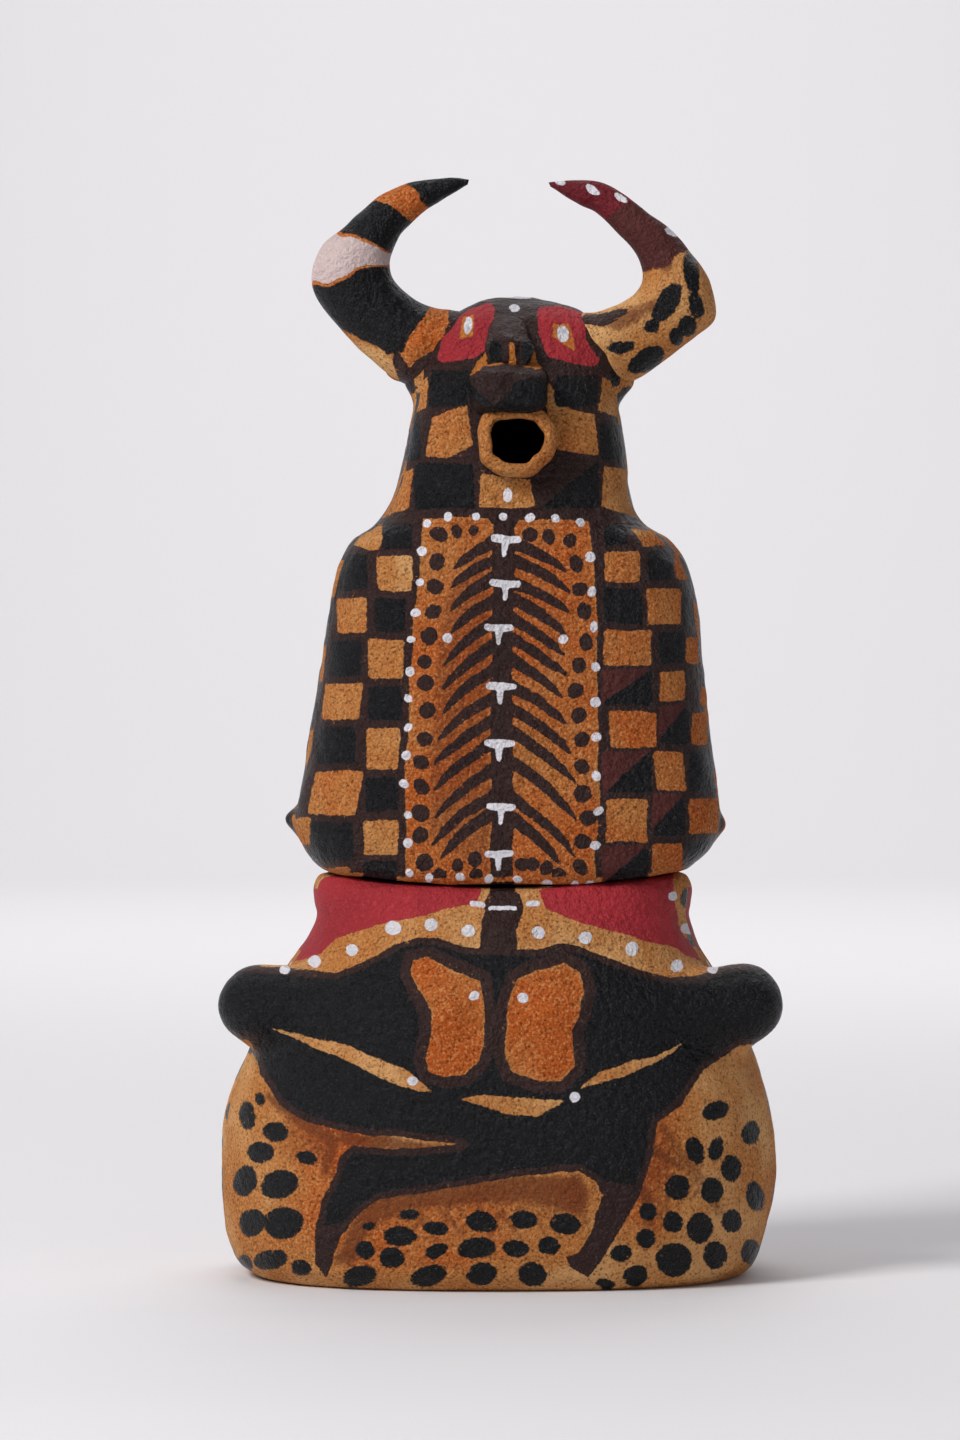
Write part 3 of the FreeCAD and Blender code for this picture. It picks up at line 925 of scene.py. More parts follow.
@dataclass
class HandBuiltWall:
    """An oval wall that changes from station to station, with the unevenness of hand building.

    Attributes:
        stations: from the bottom up, (height, left edge, right edge, front, back) in mm.
        fullness: the power of the oval, from 2 for an ellipse towards a rounded box.
        columns: how many columns of vertices run round it.
        pitch: the height of a row in mm.
        thick: how thick the wall is.
        uneven: how far the surface wanders, in mm.
        hem: an edge that rises to both sides: its height, how far it rises, how far off it is felt.
    """

    stations: Sequence[tuple[float, float, float, float, float]]
    fullness: float
    columns: int
    pitch: float
    thick: float
    uneven: float = 0.7
    hem: Place = (124.4, 4.6, 26.0)

    def rows(self) -> Array:
        """The outline at evenly spaced places up the wall.

        Returns:
            One row of (height, left edge, right edge, front, back) for each place.
        """
        stations = np.array(self.stations, dtype=float)
        steps = np.abs(np.diff(stations, axis=0))
        along = np.concatenate([[0.0], np.cumsum(np.hypot(steps[:, 0], steps[:, 2:].max(axis=1)))])
        count = int(along[-1] / self.pitch) // INNER_STEP * INNER_STEP + 1
        return smooth_curve(stations, along, np.linspace(0.0, along[-1], count))

    def oval(self, rows: Array, inset: float) -> Array:
        """Points round each row: a power oval about the row's middle, evenly spaced round it.

        Args:
            rows: outlines as rows() gives them.
            inset: how far in from the outline.

        Returns:
            A grid, rows by columns by 3. Its first column is at the middle of the back.
        """
        z, left, right, front, back = rows.T[:, :, None]
        least = 0.4  # the smallest half size, in mm
        half = np.maximum((right - left) / 2 - inset, least)
        turn = np.linspace(0.0, FULL_TURN, 1441)
        power = 2.0 / self.fullness
        side, ahead = powered(np.sin(turn), power), powered(np.cos(turn), power)
        sizes = rows[len(rows) // 3]
        width, depth = (sizes[2] - sizes[1]) / 2, (sizes[4] - sizes[3]) / 2
        lengths = along_of(np.stack([side * width, ahead * depth], axis=1))
        even = np.interp(np.arange(self.columns) / self.columns * lengths[-1], lengths, turn)
        side, ahead = powered(np.sin(even), power), powered(np.cos(even), power)
        middle_y = np.minimum(back, 0.0) + np.maximum(front, 0.0)
        deep = np.maximum(np.where(ahead > 0, back - middle_y, middle_y - front) - inset, least)
        x = (left + right) / 2 - half * side
        y = middle_y + deep * ahead
        return np.stack([x, y, np.broadcast_to(z, x.shape)], axis=-1)

    def build(self, bumps: Sequence[Bump], reach: float) -> tuple[Array, Array]:
        """The outer and the inner grid.

        Args:
            bumps: lumps of clay on the outside.
            reach: the furthest that a lump stands out.

        Returns:
            The outer grid, and the inner grid with its rows thinned.
        """
        rows = self.rows()
        outer = swell(self.oval(rows, 0.0), bumps, True, reach)
        flat = outer.reshape(-1, 3)
        waver = Waver(3)
        wander = 0.62 * waver(flat, 21.0) + 0.34 * waver(flat, 8.0) + 0.17 * waver(flat + 40.0, 3.4)
        wander = wander * blend_in(0.0, 3.0, flat[:, 2]) * self.uneven  # the foot stays level
        outer = outer + normals_of(outer, True) * wander.reshape(outer.shape[:2])[..., None]
        inner = self.oval(rows[::INNER_STEP], self.thick)
        return self.lifted(outer), self.lifted(inner)

    def lifted(self, grid: Array) -> Array:
        """Raises the edge at one height towards both sides, as a cloak's hem dips in front.

        Args:
            grid: the grid, which is changed.

        Returns:
            The same grid.
        """
        height, rise, span = self.hem
        half_wide = 62.0
        share = 1.0 - np.clip(np.abs(grid[..., 2] - height) / span, 0.0, 1.0)
        grid[..., 2] += rise * np.minimum((grid[..., 0] / half_wide) ** 2, 1.0) * share
        return grid


# ==== The lower body ====
@dataclass
class Lap:
    """The bowl of the crossed legs, with the waist's ledge above it and the thighs laid over it."""

    wall: HandBuiltWall = field(
        default_factory=lambda: HandBuiltWall(
            stations=(
                (0, -76, 74.5, -53, 51),
                (1, -79, 77.5, -55.5, 53.5),
                (4, -83.5, 80.5, -58.5, 56.5),
                (9, -86, 83, -60.2, 58.5),
                (22.7, -88.3, 87, -61.8, 61),
                (38.7, -88.5, 88, -62.2, 61.5),
                (54.7, -86.6, 86, -61.6, 60.5),
                (72, -80, 80.5, -59.5, 57.5),
                (87, -74, 74, -57, 54.5),
                (98, -68, 67.6, -54.8, 51.5),
                (105, -62.8, 63.6, -52.6, 49),
                (110, -60, 61.6, -51.8, 46.6),
                (112.6, -59, 60.8, -51.2, 45.4),
                (115, -58.6, 60.4, -49.2, 45.2),
                (118, -59.4, 60.8, -47.2, 45.4),
                (121, -59.6, 61, -45.6, 45),
                (123.2, -58, 59.6, -43.8, 43),
                (124.3, -54.6, 56.6, -40.6, 40),
            ),
            fullness=2.55,
            columns=640,
            pitch=0.72,
            thick=7.0,
            uneven=0.85,
            hem=(124.4, 4.4, 7.0),
        )
    )
    seam: float = -16.0  # the y where the two slabs meet

    def bumps(self) -> list[Bump]:
        """The thighs, from the knees in.

        Returns:
            The lumps.
        """
        return [
            Bump((side * 75.4, -29.0, 87.0), (side * 16.0, -50.5, 85.0), 13.2, 8.0, 5.0) for side in (-1, 1)
        ]

    def build(self) -> dict[str, Solid]:
        """The front and back slabs, parted at the seams down the sides."""
        outer, inner = self.wall.build(self.bumps(), 27.0)
        return part_at_seams("lap", outer, inner, self.seam)


def part_at_seams(name: str, outer: Array, inner: Array, seam: float) -> dict[str, Solid]:
    """Parts a wall that runs right round into a front and a back slab.

    Args:
        name: the wall's name.
        outer: its outer grid, which starts at the middle of the back.
        inner: its inner grid.
        seam: the seams' y.

    Returns:
        The two closed slabs by name.
    """
    columns = outer.shape[1]
    middle = outer[outer.shape[0] // 3, :, 1]
    ahead = np.flatnonzero(middle < seam)
    first, last = int(ahead[0]), int(ahead[-1])
    front = np.arange(first, last + 1)
    back = np.arange(last, first + columns + 1) % columns
    return {
        f"{name}_{half}": Solid.wall(outer[:, part], inner[:, part], wrap=False, pole=False)
        for half, part in (("front", front), ("back", back))
    }


# ==== Torso and head ====
@dataclass
class Trunk:
    """The torso and head, drawn up as one wall and parted at the neck."""

    wall: HandBuiltWall = field(
        default_factory=lambda: HandBuiltWall(
            stations=(
                (124.7, -54.4, 57, -39.8, 38.8),
                (125, -56.8, 59.6, -42.4, 41.4),
                (127, -59.4, 62.6, -44.2, 43),
                (130, -61.6, 65.4, -44.8, 43.6),
                (134.7, -63.6, 68.2, -44.6, 43.6),
                (142.7, -65.8, 70.2, -43.8, 43.4),
                (151, -64.6, 69.6, -42.6, 43),
                (166, -61.6, 68, -40.6, 41.6),
                (182.7, -59.2, 66.4, -39.2, 40.2),
                (199, -56.4, 64.4, -37.6, 38.4),
                (214.7, -53.8, 62.2, -36.2, 36.4),
                (227.5, -50.4, 58.4, -34.6, 33.6),
                (233.9, -46.2, 53.4, -33, 31.4),
                (238.4, -39.8, 46.2, -31.6, 30),
                (242.5, -36.6, 43.6, -30.6, 29),
                (248, -34.2, 42.2, -30, 28.4),
                (262.7, -30.4, 40.4, -29, 27.6),
                (278.7, -26.8, 37.6, -27.4, 27.4),
                (289, -23.8, 34.6, -23.4, 26.8),
                (298, -20.6, 31, -17, 24.6),
                (303.6, -16.8, 28.4, -11.4, 21.4),
                (307, -11.8, 24.8, -6.8, 17.8),
                (309.4, -6.4, 18.8, -2.2, 13.6),
                (311.2, 0, 11.8, 2.6, 9.8),
                (312, 4.8, 6.8, 5.6, 7),
            ),
            fullness=2.7,
            columns=512,
            pitch=0.7,
            thick=6.5,
            uneven=0.95,
        )
    )
    neck: float = 238.0  # the height where the head is parted from the torso
    seam: float = -16.0  # the y where the torso's two slabs meet

    def bumps(self) -> list[Bump]:
        """Elbow nubs, the spread of the horns' roots, and the muzzle's and brow's footing.

        Returns:
            The lumps.
        """
        return [
            Bump((-62.5, -2.0, 142.0), (-64.5, -3.0, 143.5), 5.2, 4.6, 2.4),
            Bump((67.0, -3.0, 141.0), (69.0, -4.0, 141.5), 4.4, 3.4, 2.6),
            Bump((-4.0, -3.0, 296.0), (-19.0, -3.0, 292.0), 9.5, 9.0, 9.0),
            Bump((14.0, -3.0, 296.0), (30.0, -3.0, 291.0), 9.5, 9.0, 9.0),
            Bump((-23.6, -2.5, 285.8), (-10.0, -3.0, 291.0), 7.4, 8.0, 3.5),
            Bump((36.4, -2.5, 285.0), (22.0, -3.0, 290.0), 6.4, 8.0, 3.5),
            Bump((3.0, -24.0, 278.0), (4.6, -24.0, 263.0), 8.0, 9.6, 5.0),
        ]

    def build(self) -> dict[str, Solid]:
        """The torso's two slabs, and the head closed at its crown.

        Returns:
            The three closed meshes, by name.
        """
        outer, inner = self.wall.build(self.bumps(), 20.0)
        heights = outer[:, 0, 2]
        cut = int(np.searchsorted(heights, self.neck)) // INNER_STEP * INNER_STEP
        low = cut // INNER_STEP + 1
        parts = part_at_seams("torso", outer[: cut + 1], inner[:low], self.seam)
        skull = inner[low - 1 :].copy()
        skull[..., 2] = np.minimum(skull[..., 2], heights[-1] - self.wall.thick)
        parts["head"] = Solid.wall(outer[cut:], skull, wrap=True, pole=True)
        return parts

    def paint(self, canvas: Canvas) -> None:
        """Paints the torso and the head as one, so that the pattern runs over the neck.

        Args:
            canvas: the piece's surface.
        """
        canvas.flood(Coat.BROWN)
        Cloak().paint(canvas)
        Mask().paint(canvas)


@dataclass
class Face:
    """Muzzle, nose ridge and lip, pressed on the front of the head."""

    middle: float = 2.6  # the muzzle's and the nose's x
    mouth: Point = (5.0, 263.8)  # the hole's x and z
    mouth_half: Point = (8.2, 7.0)  # its half width and half height
    lip_front: float = -36.6
    lip_back: float = -22.5
    lip_power: float = 0.84  # how round the lip is: 1 for an ellipse, less for a squarer one

    def lip(self) -> Solid:
        """A coil round the mouth hole: a rounded band carried round an uneven oval.

        Returns:
            The closed ring.
        """
        turn = turns(180)
        # (depth share from back to front, how far out from the hole)
        band = np.array(
            [
                (0.0, 4.2), (0.45, 4.3), (0.74, 4.2), (0.88, 3.7), (0.97, 2.5), (1.0, 1.2),
                (0.96, 0.3), (0.8, 0.0), (0.5, 0.0), (0.0, 0.0), (-0.04, 1.8),
            ]
        )
        along = np.arange(len(band) + 1, dtype=float)
        at = np.linspace(0, len(band), 96, endpoint=False)
        loop = smooth_curve(np.vstack([band, band[:1]]), along, at)
        wave = 1.0 + 0.05 * np.sin(3 * turn + 0.6) + 0.035 * np.sin(5 * turn + 2.0) + 0.02 * np.sin(9 * turn)
        half_x = self.mouth_half[0] * wave[:, None] + loop[None, :, 1]
        half_z = self.mouth_half[1] * wave[:, None] + loop[None, :, 1]
        x = self.mouth[0] + half_x * powered(np.cos(turn), self.lip_power)[:, None]
        z = self.mouth[1] + half_z * powered(np.sin(turn), self.lip_power)[:, None]
        y = self.lip_back + (self.lip_front - self.lip_back) * loop[None, :, 0] + 0 * x
        return Solid.ring(np.stack([x, y, z], axis=-1))

    def opening(self) -> Solid:
        """The hole through the head's wall, hidden under the lip.

        Returns:
            The cutter.
        """
        turn = turns(64)
        wide, tall = (half + 1.9 for half in self.mouth_half)
        ring = np.stack([np.cos(turn) * wide, 0 * turn, np.sin(turn) * tall], axis=-1)
        at = np.array([self.mouth[0], 0.0, self.mouth[1]])
        return Solid.tube(np.stack([ring + at + (0, y, 0) for y in (-10.0, -60.0)]))

    def muzzle(self) -> Solid:
        """A blunt snout over the mouth: ovals carried forward, with a flat underside.

        Returns:
            The closed form.
        """
        # y, middle height, half width, half height above, half height below
        stations = np.array(
            [
                (-18.0, 281.5, 12.4, 7.4, 9.0),
                (-25.0, 281.2, 12.6, 7.2, 9.6),
                (-31.0, 280.6, 12.2, 6.8, 9.4),
                (-36.0, 279.8, 11.2, 6.8, 8.0),
                (-39.0, 279.2, 9.8, 6.0, 6.6),
                (-41.0, 278.8, 6.4, 4.2, 4.4),
                (-41.8, 278.6, 1.0, 0.6, 0.6),
            ]
        )
        creases = [(4.6, -38.0, 288.6), (2.4, -42.5, 281.5)]
        return self.carried(stations, 150, 3, creases, 0.62, 1.6)

    def nose(self) -> Solid:
        """The ridge down the forehead, widest at the nostrils.

        Returns:
            The closed form.
        """
        stations = np.array(
            [
                (-7.6, 304.2, 1.0, 0.5, 1.0),
                (-9.8, 303.6, 4.0, 1.6, 6.0),
                (-12.4, 302.8, 5.2, 2.2, 8.0),
                (-15.4, 301.0, 5.8, 2.6, 9.0),
                (-21.4, 296.4, 7.0, 3.0, 9.0),
                (-26.4, 292.8, 7.8, 3.0, 7.0),
                (-28.6, 290.4, 6.8, 2.2, 4.6),
                (-29.4, 289.2, 2.0, 0.8, 1.4),
            ]
        )
        nostrils = [(self.middle + side * 4.2, -28.0, 292.6) for side in (-1, 1)]
        return self.carried(stations, 120, 5, nostrils, 1.12, 2.0)

    def carried(
        self,
        stations: Array,
        columns: int,
        seed: int,
        pits: Sequence[Place],
        power: float,
        deep: float,
    ) -> Solid:
        """Ovals carried along y, each with its own height above and below its middle.

        Args:
            stations: rows of (y, middle height, half width, height above, height below).
            columns: how many columns run round.
            seed: the seed of its unevenness.
            pits: places that a fingertip or a stick pressed in.
            power: how round the section is: 1 for an ellipse, less for a squarer one.
            deep: how deep the pits are.

        Returns:
            The closed form.
        """
        along = along_of(stations[:, [0, 2]])
        rows = smooth_curve(stations, along, np.linspace(0, along[-1], 90))
        turn = turns(columns)
        y, z, half, above, below = rows.T[:, :, None]
        side, up = powered(np.cos(turn), power), powered(np.sin(turn), power)
        x = self.middle + half * side
        rise = np.where(up > 0, above, below) * up
        grid = np.stack([x, y + 0 * x, z + rise], axis=-1)
        flat = grid.reshape(-1, 3)
        wander = 0.7 * Waver(seed)(flat, 7.0) + 0.3 * Waver(seed)(flat, 3.0)
        for pit in pits:
            apart = np.linalg.norm((flat - pit) * (1.0, 0.6, 0.6), axis=1)
            wander -= deep * np.exp(-((apart / 2.0) ** 2))
        return Solid.tube(grid + normals_of(grid, True) * wander.reshape(grid.shape[:2])[..., None])

    def paint_lip(self, canvas: Canvas) -> None:
        """The lip: bare on its rim, brown where it meets the head, and black down in the hole as painted
        shade.

        Args:
            canvas: the piece's surface.
        """
        x, y, z = canvas.points.T
        (mouth_x, mouth_z), (half_x, half_z) = self.mouth, self.mouth_half
        hole = (np.hypot((x - mouth_x) / half_x, (z - mouth_z) / half_z) - 1.1) * 8.0
        canvas.warmth[:] = 0.45
        canvas.coats[Coat.BROWN] = -31.6 - y + 0.8 * canvas.waver(canvas.points, 5.0)
        # painted shade: black on the lip inside the hole, behind its front rim
        canvas.coats[Coat.BLACK] = np.maximum(hole, -34.4 - y)

    def paint_muzzle(self, canvas: Canvas) -> None:
        """The muzzle: brown, with blue-black towards both sides.

        Args:
            canvas: the piece's surface.
        """
        canvas.flood(Coat.BROWN)
        left = ((4, 284.4), (14.6, 287.4), (18, 286), (18, 270), (-3, 270), (-2.2, 276.6), (2, 279.4))
        right = ((-13, 286), (-10.2, 285), (-2.4, 276.6), (-2.4, 268), (-13, 268))
        canvas.lay(Coat.BLACK, [patch(*left, blunt=0.5), patch(*right, blunt=0.5)])
        top = stroke((-9.4, 287.4, 0.8), (-5.8, 290.0, 1.1), (3.0, 291.0, 0.5), (12.4, 289.4, 1.1))
        canvas.lay(Coat.OCHRE, [top])

    def paint_nose(self, canvas: Canvas) -> None:
        """The nose ridge: brown, with a bare stripe between the nostrils.

        Args:
            canvas: the piece's surface.
        """
        canvas.flood(Coat.BROWN)
        canvas.lay(Coat.BLACK, [dab((-1.6, 294.4), 4.4, 7.6), dab((8.4, 294.4), 4.4, 7.6)])
        canvas.lay(Coat.OCHRE, [stroke((3.5, 296.2, 1.5), (3.8, 289, 2.5))])


# ==== Horns ====
@dataclass
class Horn:
    """A crescent horn: ovals carried round a centre, thick at the bend.

    Attributes:
        side: -1 for the figure's right horn, 1 for its left.
        stations: (sweep in degrees from the other horn by way of the root, reach, half thickness).
        lumps: knobs and ridges of clay on it.
    """

    side: int
    stations: Sequence[Place]
    lumps: Sequence[Bump] = ()
    middle_x: float = 5.0
    out: float = 21.8
    middle_z: float = 324.8
    forward: float = 3.0

    def centre(self) -> Array:
        """The crescent's centre."""
        return np.array([self.middle_x + self.side * self.out, -self.forward, self.middle_z])

    def build(self) -> Solid:
        """The horn as rings of vertices in planes through its centre.

        Returns:
            The closed horn.
        """
        stations = np.array(self.stations, dtype=float)
        at = np.linspace(stations[0, 0], stations[-1, 0], 190)
        sweep, reach, thick = smooth_curve(stations, stations[:, 0], at).T[:, :, None]
        thick = np.maximum(thick, 0.5)
        turn = turns(132)
        radial = reach + thick * np.cos(turn)
        angle = np.radians(sweep)
        x = -self.side * radial * np.cos(angle)
        z = -radial * np.sin(angle)
        y = 0.86 * thick * np.sin(turn)
        grid = turned_out(np.stack([x, y, z], axis=-1) + self.centre())
        grid = swell(grid, self.lumps, True, 9.0)
        flat = grid.reshape(-1, 3)
        waver = Waver(21 + self.side)
        wander = (0.55 * waver(flat, 11.0) + 0.25 * waver(flat, 5.0)).reshape(grid.shape[:2])
        ends = blend_in(0.0, 6.0, thick[:, 0])[:, None]
        return Solid.tube(grid + normals_of(grid, True) * (wander * ends)[..., None])


# ==== The painting of each region, in mm on the flat view from the front: across, then up ====
Painter = Callable[[Canvas], None]


def trail(path: Sequence[Point], count: int, size: float, seed: int, loose: float = 0.5) -> list[Mark]:
    """Dots at even steps along a path, as a hand places them.

    Args:
        path: the points that the row of dots follows.
        count: how many dots.
        size: their width.
        seed: the seed of their unevenness.
        loose: how far they stray.

    Returns:
        The dots.
    """
    route = np.array(path, dtype=float)
    along = along_of(route)
    hand = np.random.default_rng(seed)
    marks = []
    for share in np.linspace(0.0, 1.0, count):
        at = [np.interp(share * along[-1], along, route[:, axis]) + hand.normal(0, loose) for axis in (0, 1)]
        wide, tall = size * hand.uniform(0.82, 1.15, 2)
        marks.append(dab((at[0], at[1]), wide, tall, hand.uniform(0, 180)))
    return marks


def chequer(wide: float, tall: float, gap: float, odd: int) -> Mark:
    """Every other cell of a grid of squares, each kept clear of its neighbours by a gap.

    Args:
        wide: a cell's width.
        tall: its height.
        gap: how far a square keeps from its cell's edge.
        odd: 0 or 1, for which cells are painted.

    Returns:
        The mark.
    """

    def distance(flat: Array) -> Array:
        """Distance to the nearest edge of the cell, where its row and column sum to odd or even.

        Args:
            flat: places on the flat view.

        Returns:
            The signed distance of each, in mm.
        """
        pitch = np.array([wide, tall])
        cell = np.floor(flat / pitch)
        aside = np.abs(flat - (cell + 0.5) * pitch) - pitch / 2 + gap
        return np.where(cell.sum(axis=1) % 2 == odd, aside.max(axis=1), FAR)

    return distance


def scatter(wide: float, tall: float, low: float, high: float, size: float, seed: int) -> Mark:
    """Spots on a staggered grid between two heights, each with its own place, size and shape.

    Args:
        wide: the grid's pitch across.
        tall: its pitch up.
        low: the lowest height of a spot's middle.
        high: the highest.
        size: half the size of a spot.
        seed: the seed of their unevenness.

    Returns:
        The mark.
    """

    def distance(flat: Array) -> Array:
        """Distance to the nearest of the spots in the cells about each place.

        Args:
            flat: places on the flat view.

        Returns:
            The signed distance of each, in mm.
        """
        hand = np.random.default_rng(seed)
        shift, shape = hand.uniform(-0.2, 0.2, (64, 64, 2)), hand.uniform(0.55, 1.15, (64, 64, 2))
        row = np.floor((flat[:, 1] - low) / tall)
        nearest = np.full(len(flat), FAR)
        for step_up in (-1, 0, 1):
            for step_on in (-1, 0, 1):
                up = row + step_up
                stagger = 0.5 * (up % 2)
                on = np.floor(flat[:, 0] / wide - stagger) + step_on
                key = (on.astype(int) % 64, up.astype(int) % 64)
                at_x = (on + stagger + 0.5 + shift[key][:, 0]) * wide
                at_z = low + (up + 0.5 + shift[key][:, 1]) * tall
                half_x, half_z = (size * shape[key]).T
                gap = np.hypot((flat[:, 0] - at_x) / half_x, (flat[:, 1] - at_z) / half_z) - 1.0
                gap = gap * np.minimum(half_x, half_z)
                nearest = np.minimum(nearest, np.where((at_z > low) & (at_z < high), gap, FAR))
        return nearest

    return distance


def band(middle: float, half: float) -> Mark:
    """A level band of paint right round the figure."""
    return lambda flat: np.abs(flat[:, 1] - middle) - half


def blocks(*sizes: tuple[float, ...]) -> list[Mark]:
    """Painted squares from (left, right, low, high) and an optional skew."""
    return [block(*size) for size in sizes]


@dataclass
class Cloak:
    """The pattern on the torso: a spine and ribs on a bare panel, between columns of squares."""

    edge: float = -13.0  # the y where the front's free pattern gives way to a regular one
    square: Point = (12.2, 13.4)  # the regular pattern's squares, wide and tall
    panel: Sequence[Point] = (
        (-24.4, 240.6), (-27.0, 217.0), (-28.5, 195.0), (-30.0, 169.0), (-30.6, 150.0), (-30.4, 124.0),
        (-28.0, 120.0), (28.0, 120.0), (30.0, 124.0), (31.5, 150.0), (31.2, 184.0), (30.6, 216.0),
        (28.6, 239.8), (6.0, 240.6), (4.6, 238.6), (-2.6, 238.8), (-4.0, 240.8),
    )
    left_ribs: Sequence[Place] = (
        (234, -15, 224.5), (228, -16, 218.5), (222, -16.5, 211), (215, -16, 204), (208, -18, 194),
        (200.5, -18.5, 186), (193, -19, 178), (184, -20, 170), (176.5, -21, 162.5), (169.5, -21.5, 154),
        (161, -21, 145), (152.5, -22, 136), (147, -19.5, 132),
    )
    right_ribs: Sequence[Place] = (
        (233.5, 20.5, 224), (228, 22, 217), (220.5, 22, 210.5), (215.5, 21, 203.5), (209, 21, 197),
        (202.5, 21.5, 190), (196, 19.5, 183.5), (187.5, 20.5, 175), (180, 22.5, 165.5), (172.5, 24, 156),
        (163, 24.5, 144.5), (151.5, 24, 132.5), (145, 19, 130),
    )

    # the bare ochre squares on the cloak's front, column by column from the panel outwards
    squares = blocks(
        (-39.4, -28.6, 218, 228.5), (-42.4, -31.0, 189.5, 202), (-42.7, -32.6, 160.5, 174),
        (-43.8, -33.0, 133, 144), (-52, -42.7, 204, 215.5), (-57, -45.8, 176.5, 188, 1.6),
        (-61.5, -46.2, 146, 160, 2.4), (-60, -48, 121.6, 129), (-70, -56.4, 189, 200),
        (-75, -63, 160.5, 173), (-58, -52, 219, 229), (-75, -60.5, 137, 144.6),
        (33.4, 45, 220.5, 230), (33.2, 48.4, 194, 205), (34.8, 49.8, 167.5, 179),
        (33.6, 47, 137, 150.5), (47.4, 57.5, 207, 218), (51, 58.7, 182.5, 192),
        (50.5, 59.6, 153.5, 166, -1.4), (48.4, 58.2, 124, 137), (56.4, 61.5, 221, 231),
        (60, 63.4, 194, 203), (61.8, 66.2, 168, 179), (60.6, 70, 140, 151), (64.3, 75, 181, 189),
    ) + [
        patch((-36.6, 239), (-39, 230.5), (-42, 230), (-48, 232.5), (-44, 237.5)),
        patch((41.8, 238), (46, 231.5), (52.6, 232), (49, 236.5)),
    ]

    # the blue-black squares between them
    dark_squares = blocks(
        (-40, -30.5, 204.5, 215.5), (-42.5, -31.8, 176.5, 187), (-43, -33, 147, 158),
        (-44.5, -33, 124, 130.5), (-52, -42.5, 218, 229), (-54.5, -45, 190.5, 201.5),
        (-58.5, -46.5, 162.5, 174), (-61, -47, 131.5, 143.5), (-70, -54.6, 204, 217),
        (-75, -60, 175.5, 187), (-75, -64.5, 147, 158.5), (-38, -28, 231, 239),
        (33, 45.6, 207.5, 218.2), (33.4, 48.6, 181.5, 191.8), (33.4, 48.6, 153, 165.2),
        (33, 47.4, 124.5, 134.8), (47.6, 55, 220.5, 230), (51, 59, 194.5, 204.5),
        (51.6, 60.2, 168.4, 180), (49.4, 58.8, 139.5, 151.2), (58.6, 70, 206, 218.6),
        (60.8, 70, 153.4, 166), (60.4, 72, 126, 137.6), (33.4, 41, 232.4, 238.4),
    )

    # the lighter half of some dark squares, over the diagonal
    maroon_corners = [
        patch((32.4, 192.6), (48.2, 192.8), (32.6, 181.6)), patch((32.6, 166), (48, 166.6), (32.6, 152)),
        patch((32.4, 135.4), (47, 136.2), (32.6, 124.2)), patch((50.4, 181), (59.6, 181.4), (50, 169.6)),
        patch((48.8, 152.4), (58.7, 152.6), (48.6, 141.4)),
    ]

    def skeleton(self) -> list[Mark]:
        """The spine, and each rib as a stroke that thins as it curves down and out.

        Returns:
            The marks.
        """
        marks = [stroke((1.2, 240, 7), (0.8, 210, 6.6), (0.3, 170, 6.8), (0.3, 118, 7.4))]
        for side, ribs in ((-1, self.left_ribs), (1, self.right_ribs)):
            for start, end_x, end_z in ribs:
                root = side * 2.4 + 0.8
                knee = (root + 0.50 * (end_x - root), start + 0.40 * (end_z - start))
                bend = (root + 0.82 * (end_x - root), start + 0.75 * (end_z - start))
                marks.append(stroke((root, start, 4.2), (*knee, 3.5), (*bend, 2.7), (end_x, end_z, 0.8)))
        return marks

    def joints(self) -> list[Mark]:
        """Pale T marks down the spine.

        Returns:
            The marks.
        """
        places = (
            (1.7, 234.3), (1.4, 219.8), (-0.2, 205.4), (0.5, 187), (-0.2, 168.4), (0, 148), (-0.2, 133.2),
        )
        marks = []
        for across, up in places:
            bar = ((across - 3.8, up + 0.4, 2.2), (across, up, 2.6), (across + 3.8, up + 0.2, 2.0))
            stem = ((across - 0.2, up - 1, 2.3), (across - 0.4, up - 4.8, 1.3))
            marks += [stroke(*bar), stroke(*stem)]
        return marks

    def paint(self, canvas: Canvas) -> None:
        """Paints the torso, up to the neck.

        Args:
            canvas: the piece's surface.
        """
        ahead, behind = canvas.depth < self.edge, canvas.depth >= self.edge
        canvas.warm(0.85, [patch(*self.panel)], 1.0)
        canvas.warm(0.72, [block(32, 80, 120, 235)], 1.0)
        canvas.warm(0.5, [block(-80, -34, 120, 232)], 1.0)
        canvas.lift(Coat.BROWN, [patch(*self.panel), *self.squares], where=ahead)
        canvas.lay(Coat.BLACK, self.dark_squares, where=ahead)
        canvas.lay(Coat.MAROON, self.maroon_corners, where=ahead)
        canvas.lift(Coat.BROWN, [chequer(*self.square, 0.9, 1)], on=canvas.around, where=behind)
        canvas.lay(Coat.BLACK, [chequer(*self.square, 1.1, 0)], on=canvas.around, where=behind)
        canvas.lay(Coat.RUST, self.washes(), where=ahead)
        canvas.lay(Coat.BROWN, [*self.skeleton(), *self.black_dots()], where=ahead)
        canvas.lay(Coat.WHITE, [*self.joints(), *self.white_dots()], where=ahead)
        hem = stroke((-60, 128, 1.6), (-30, 125.2, 1.4), (30, 125.2, 1.4), (62, 128, 1.6))
        canvas.lift(Coat.BROWN, [hem])

    def washes(self) -> list[Mark]:
        """Thin rust between the ribs, strongest left of the spine.

        Returns:
            The marks.
        """
        left = patch((-4, 232), (-18, 214), (-22, 170), (-22, 140), (-4, 128))
        right = patch((4, 232), (16, 218), (20, 196), (12, 170), (4, 150))
        return [lambda flat: np.maximum(left(flat), -0.1), lambda flat: np.maximum(right(flat), 0.7)]

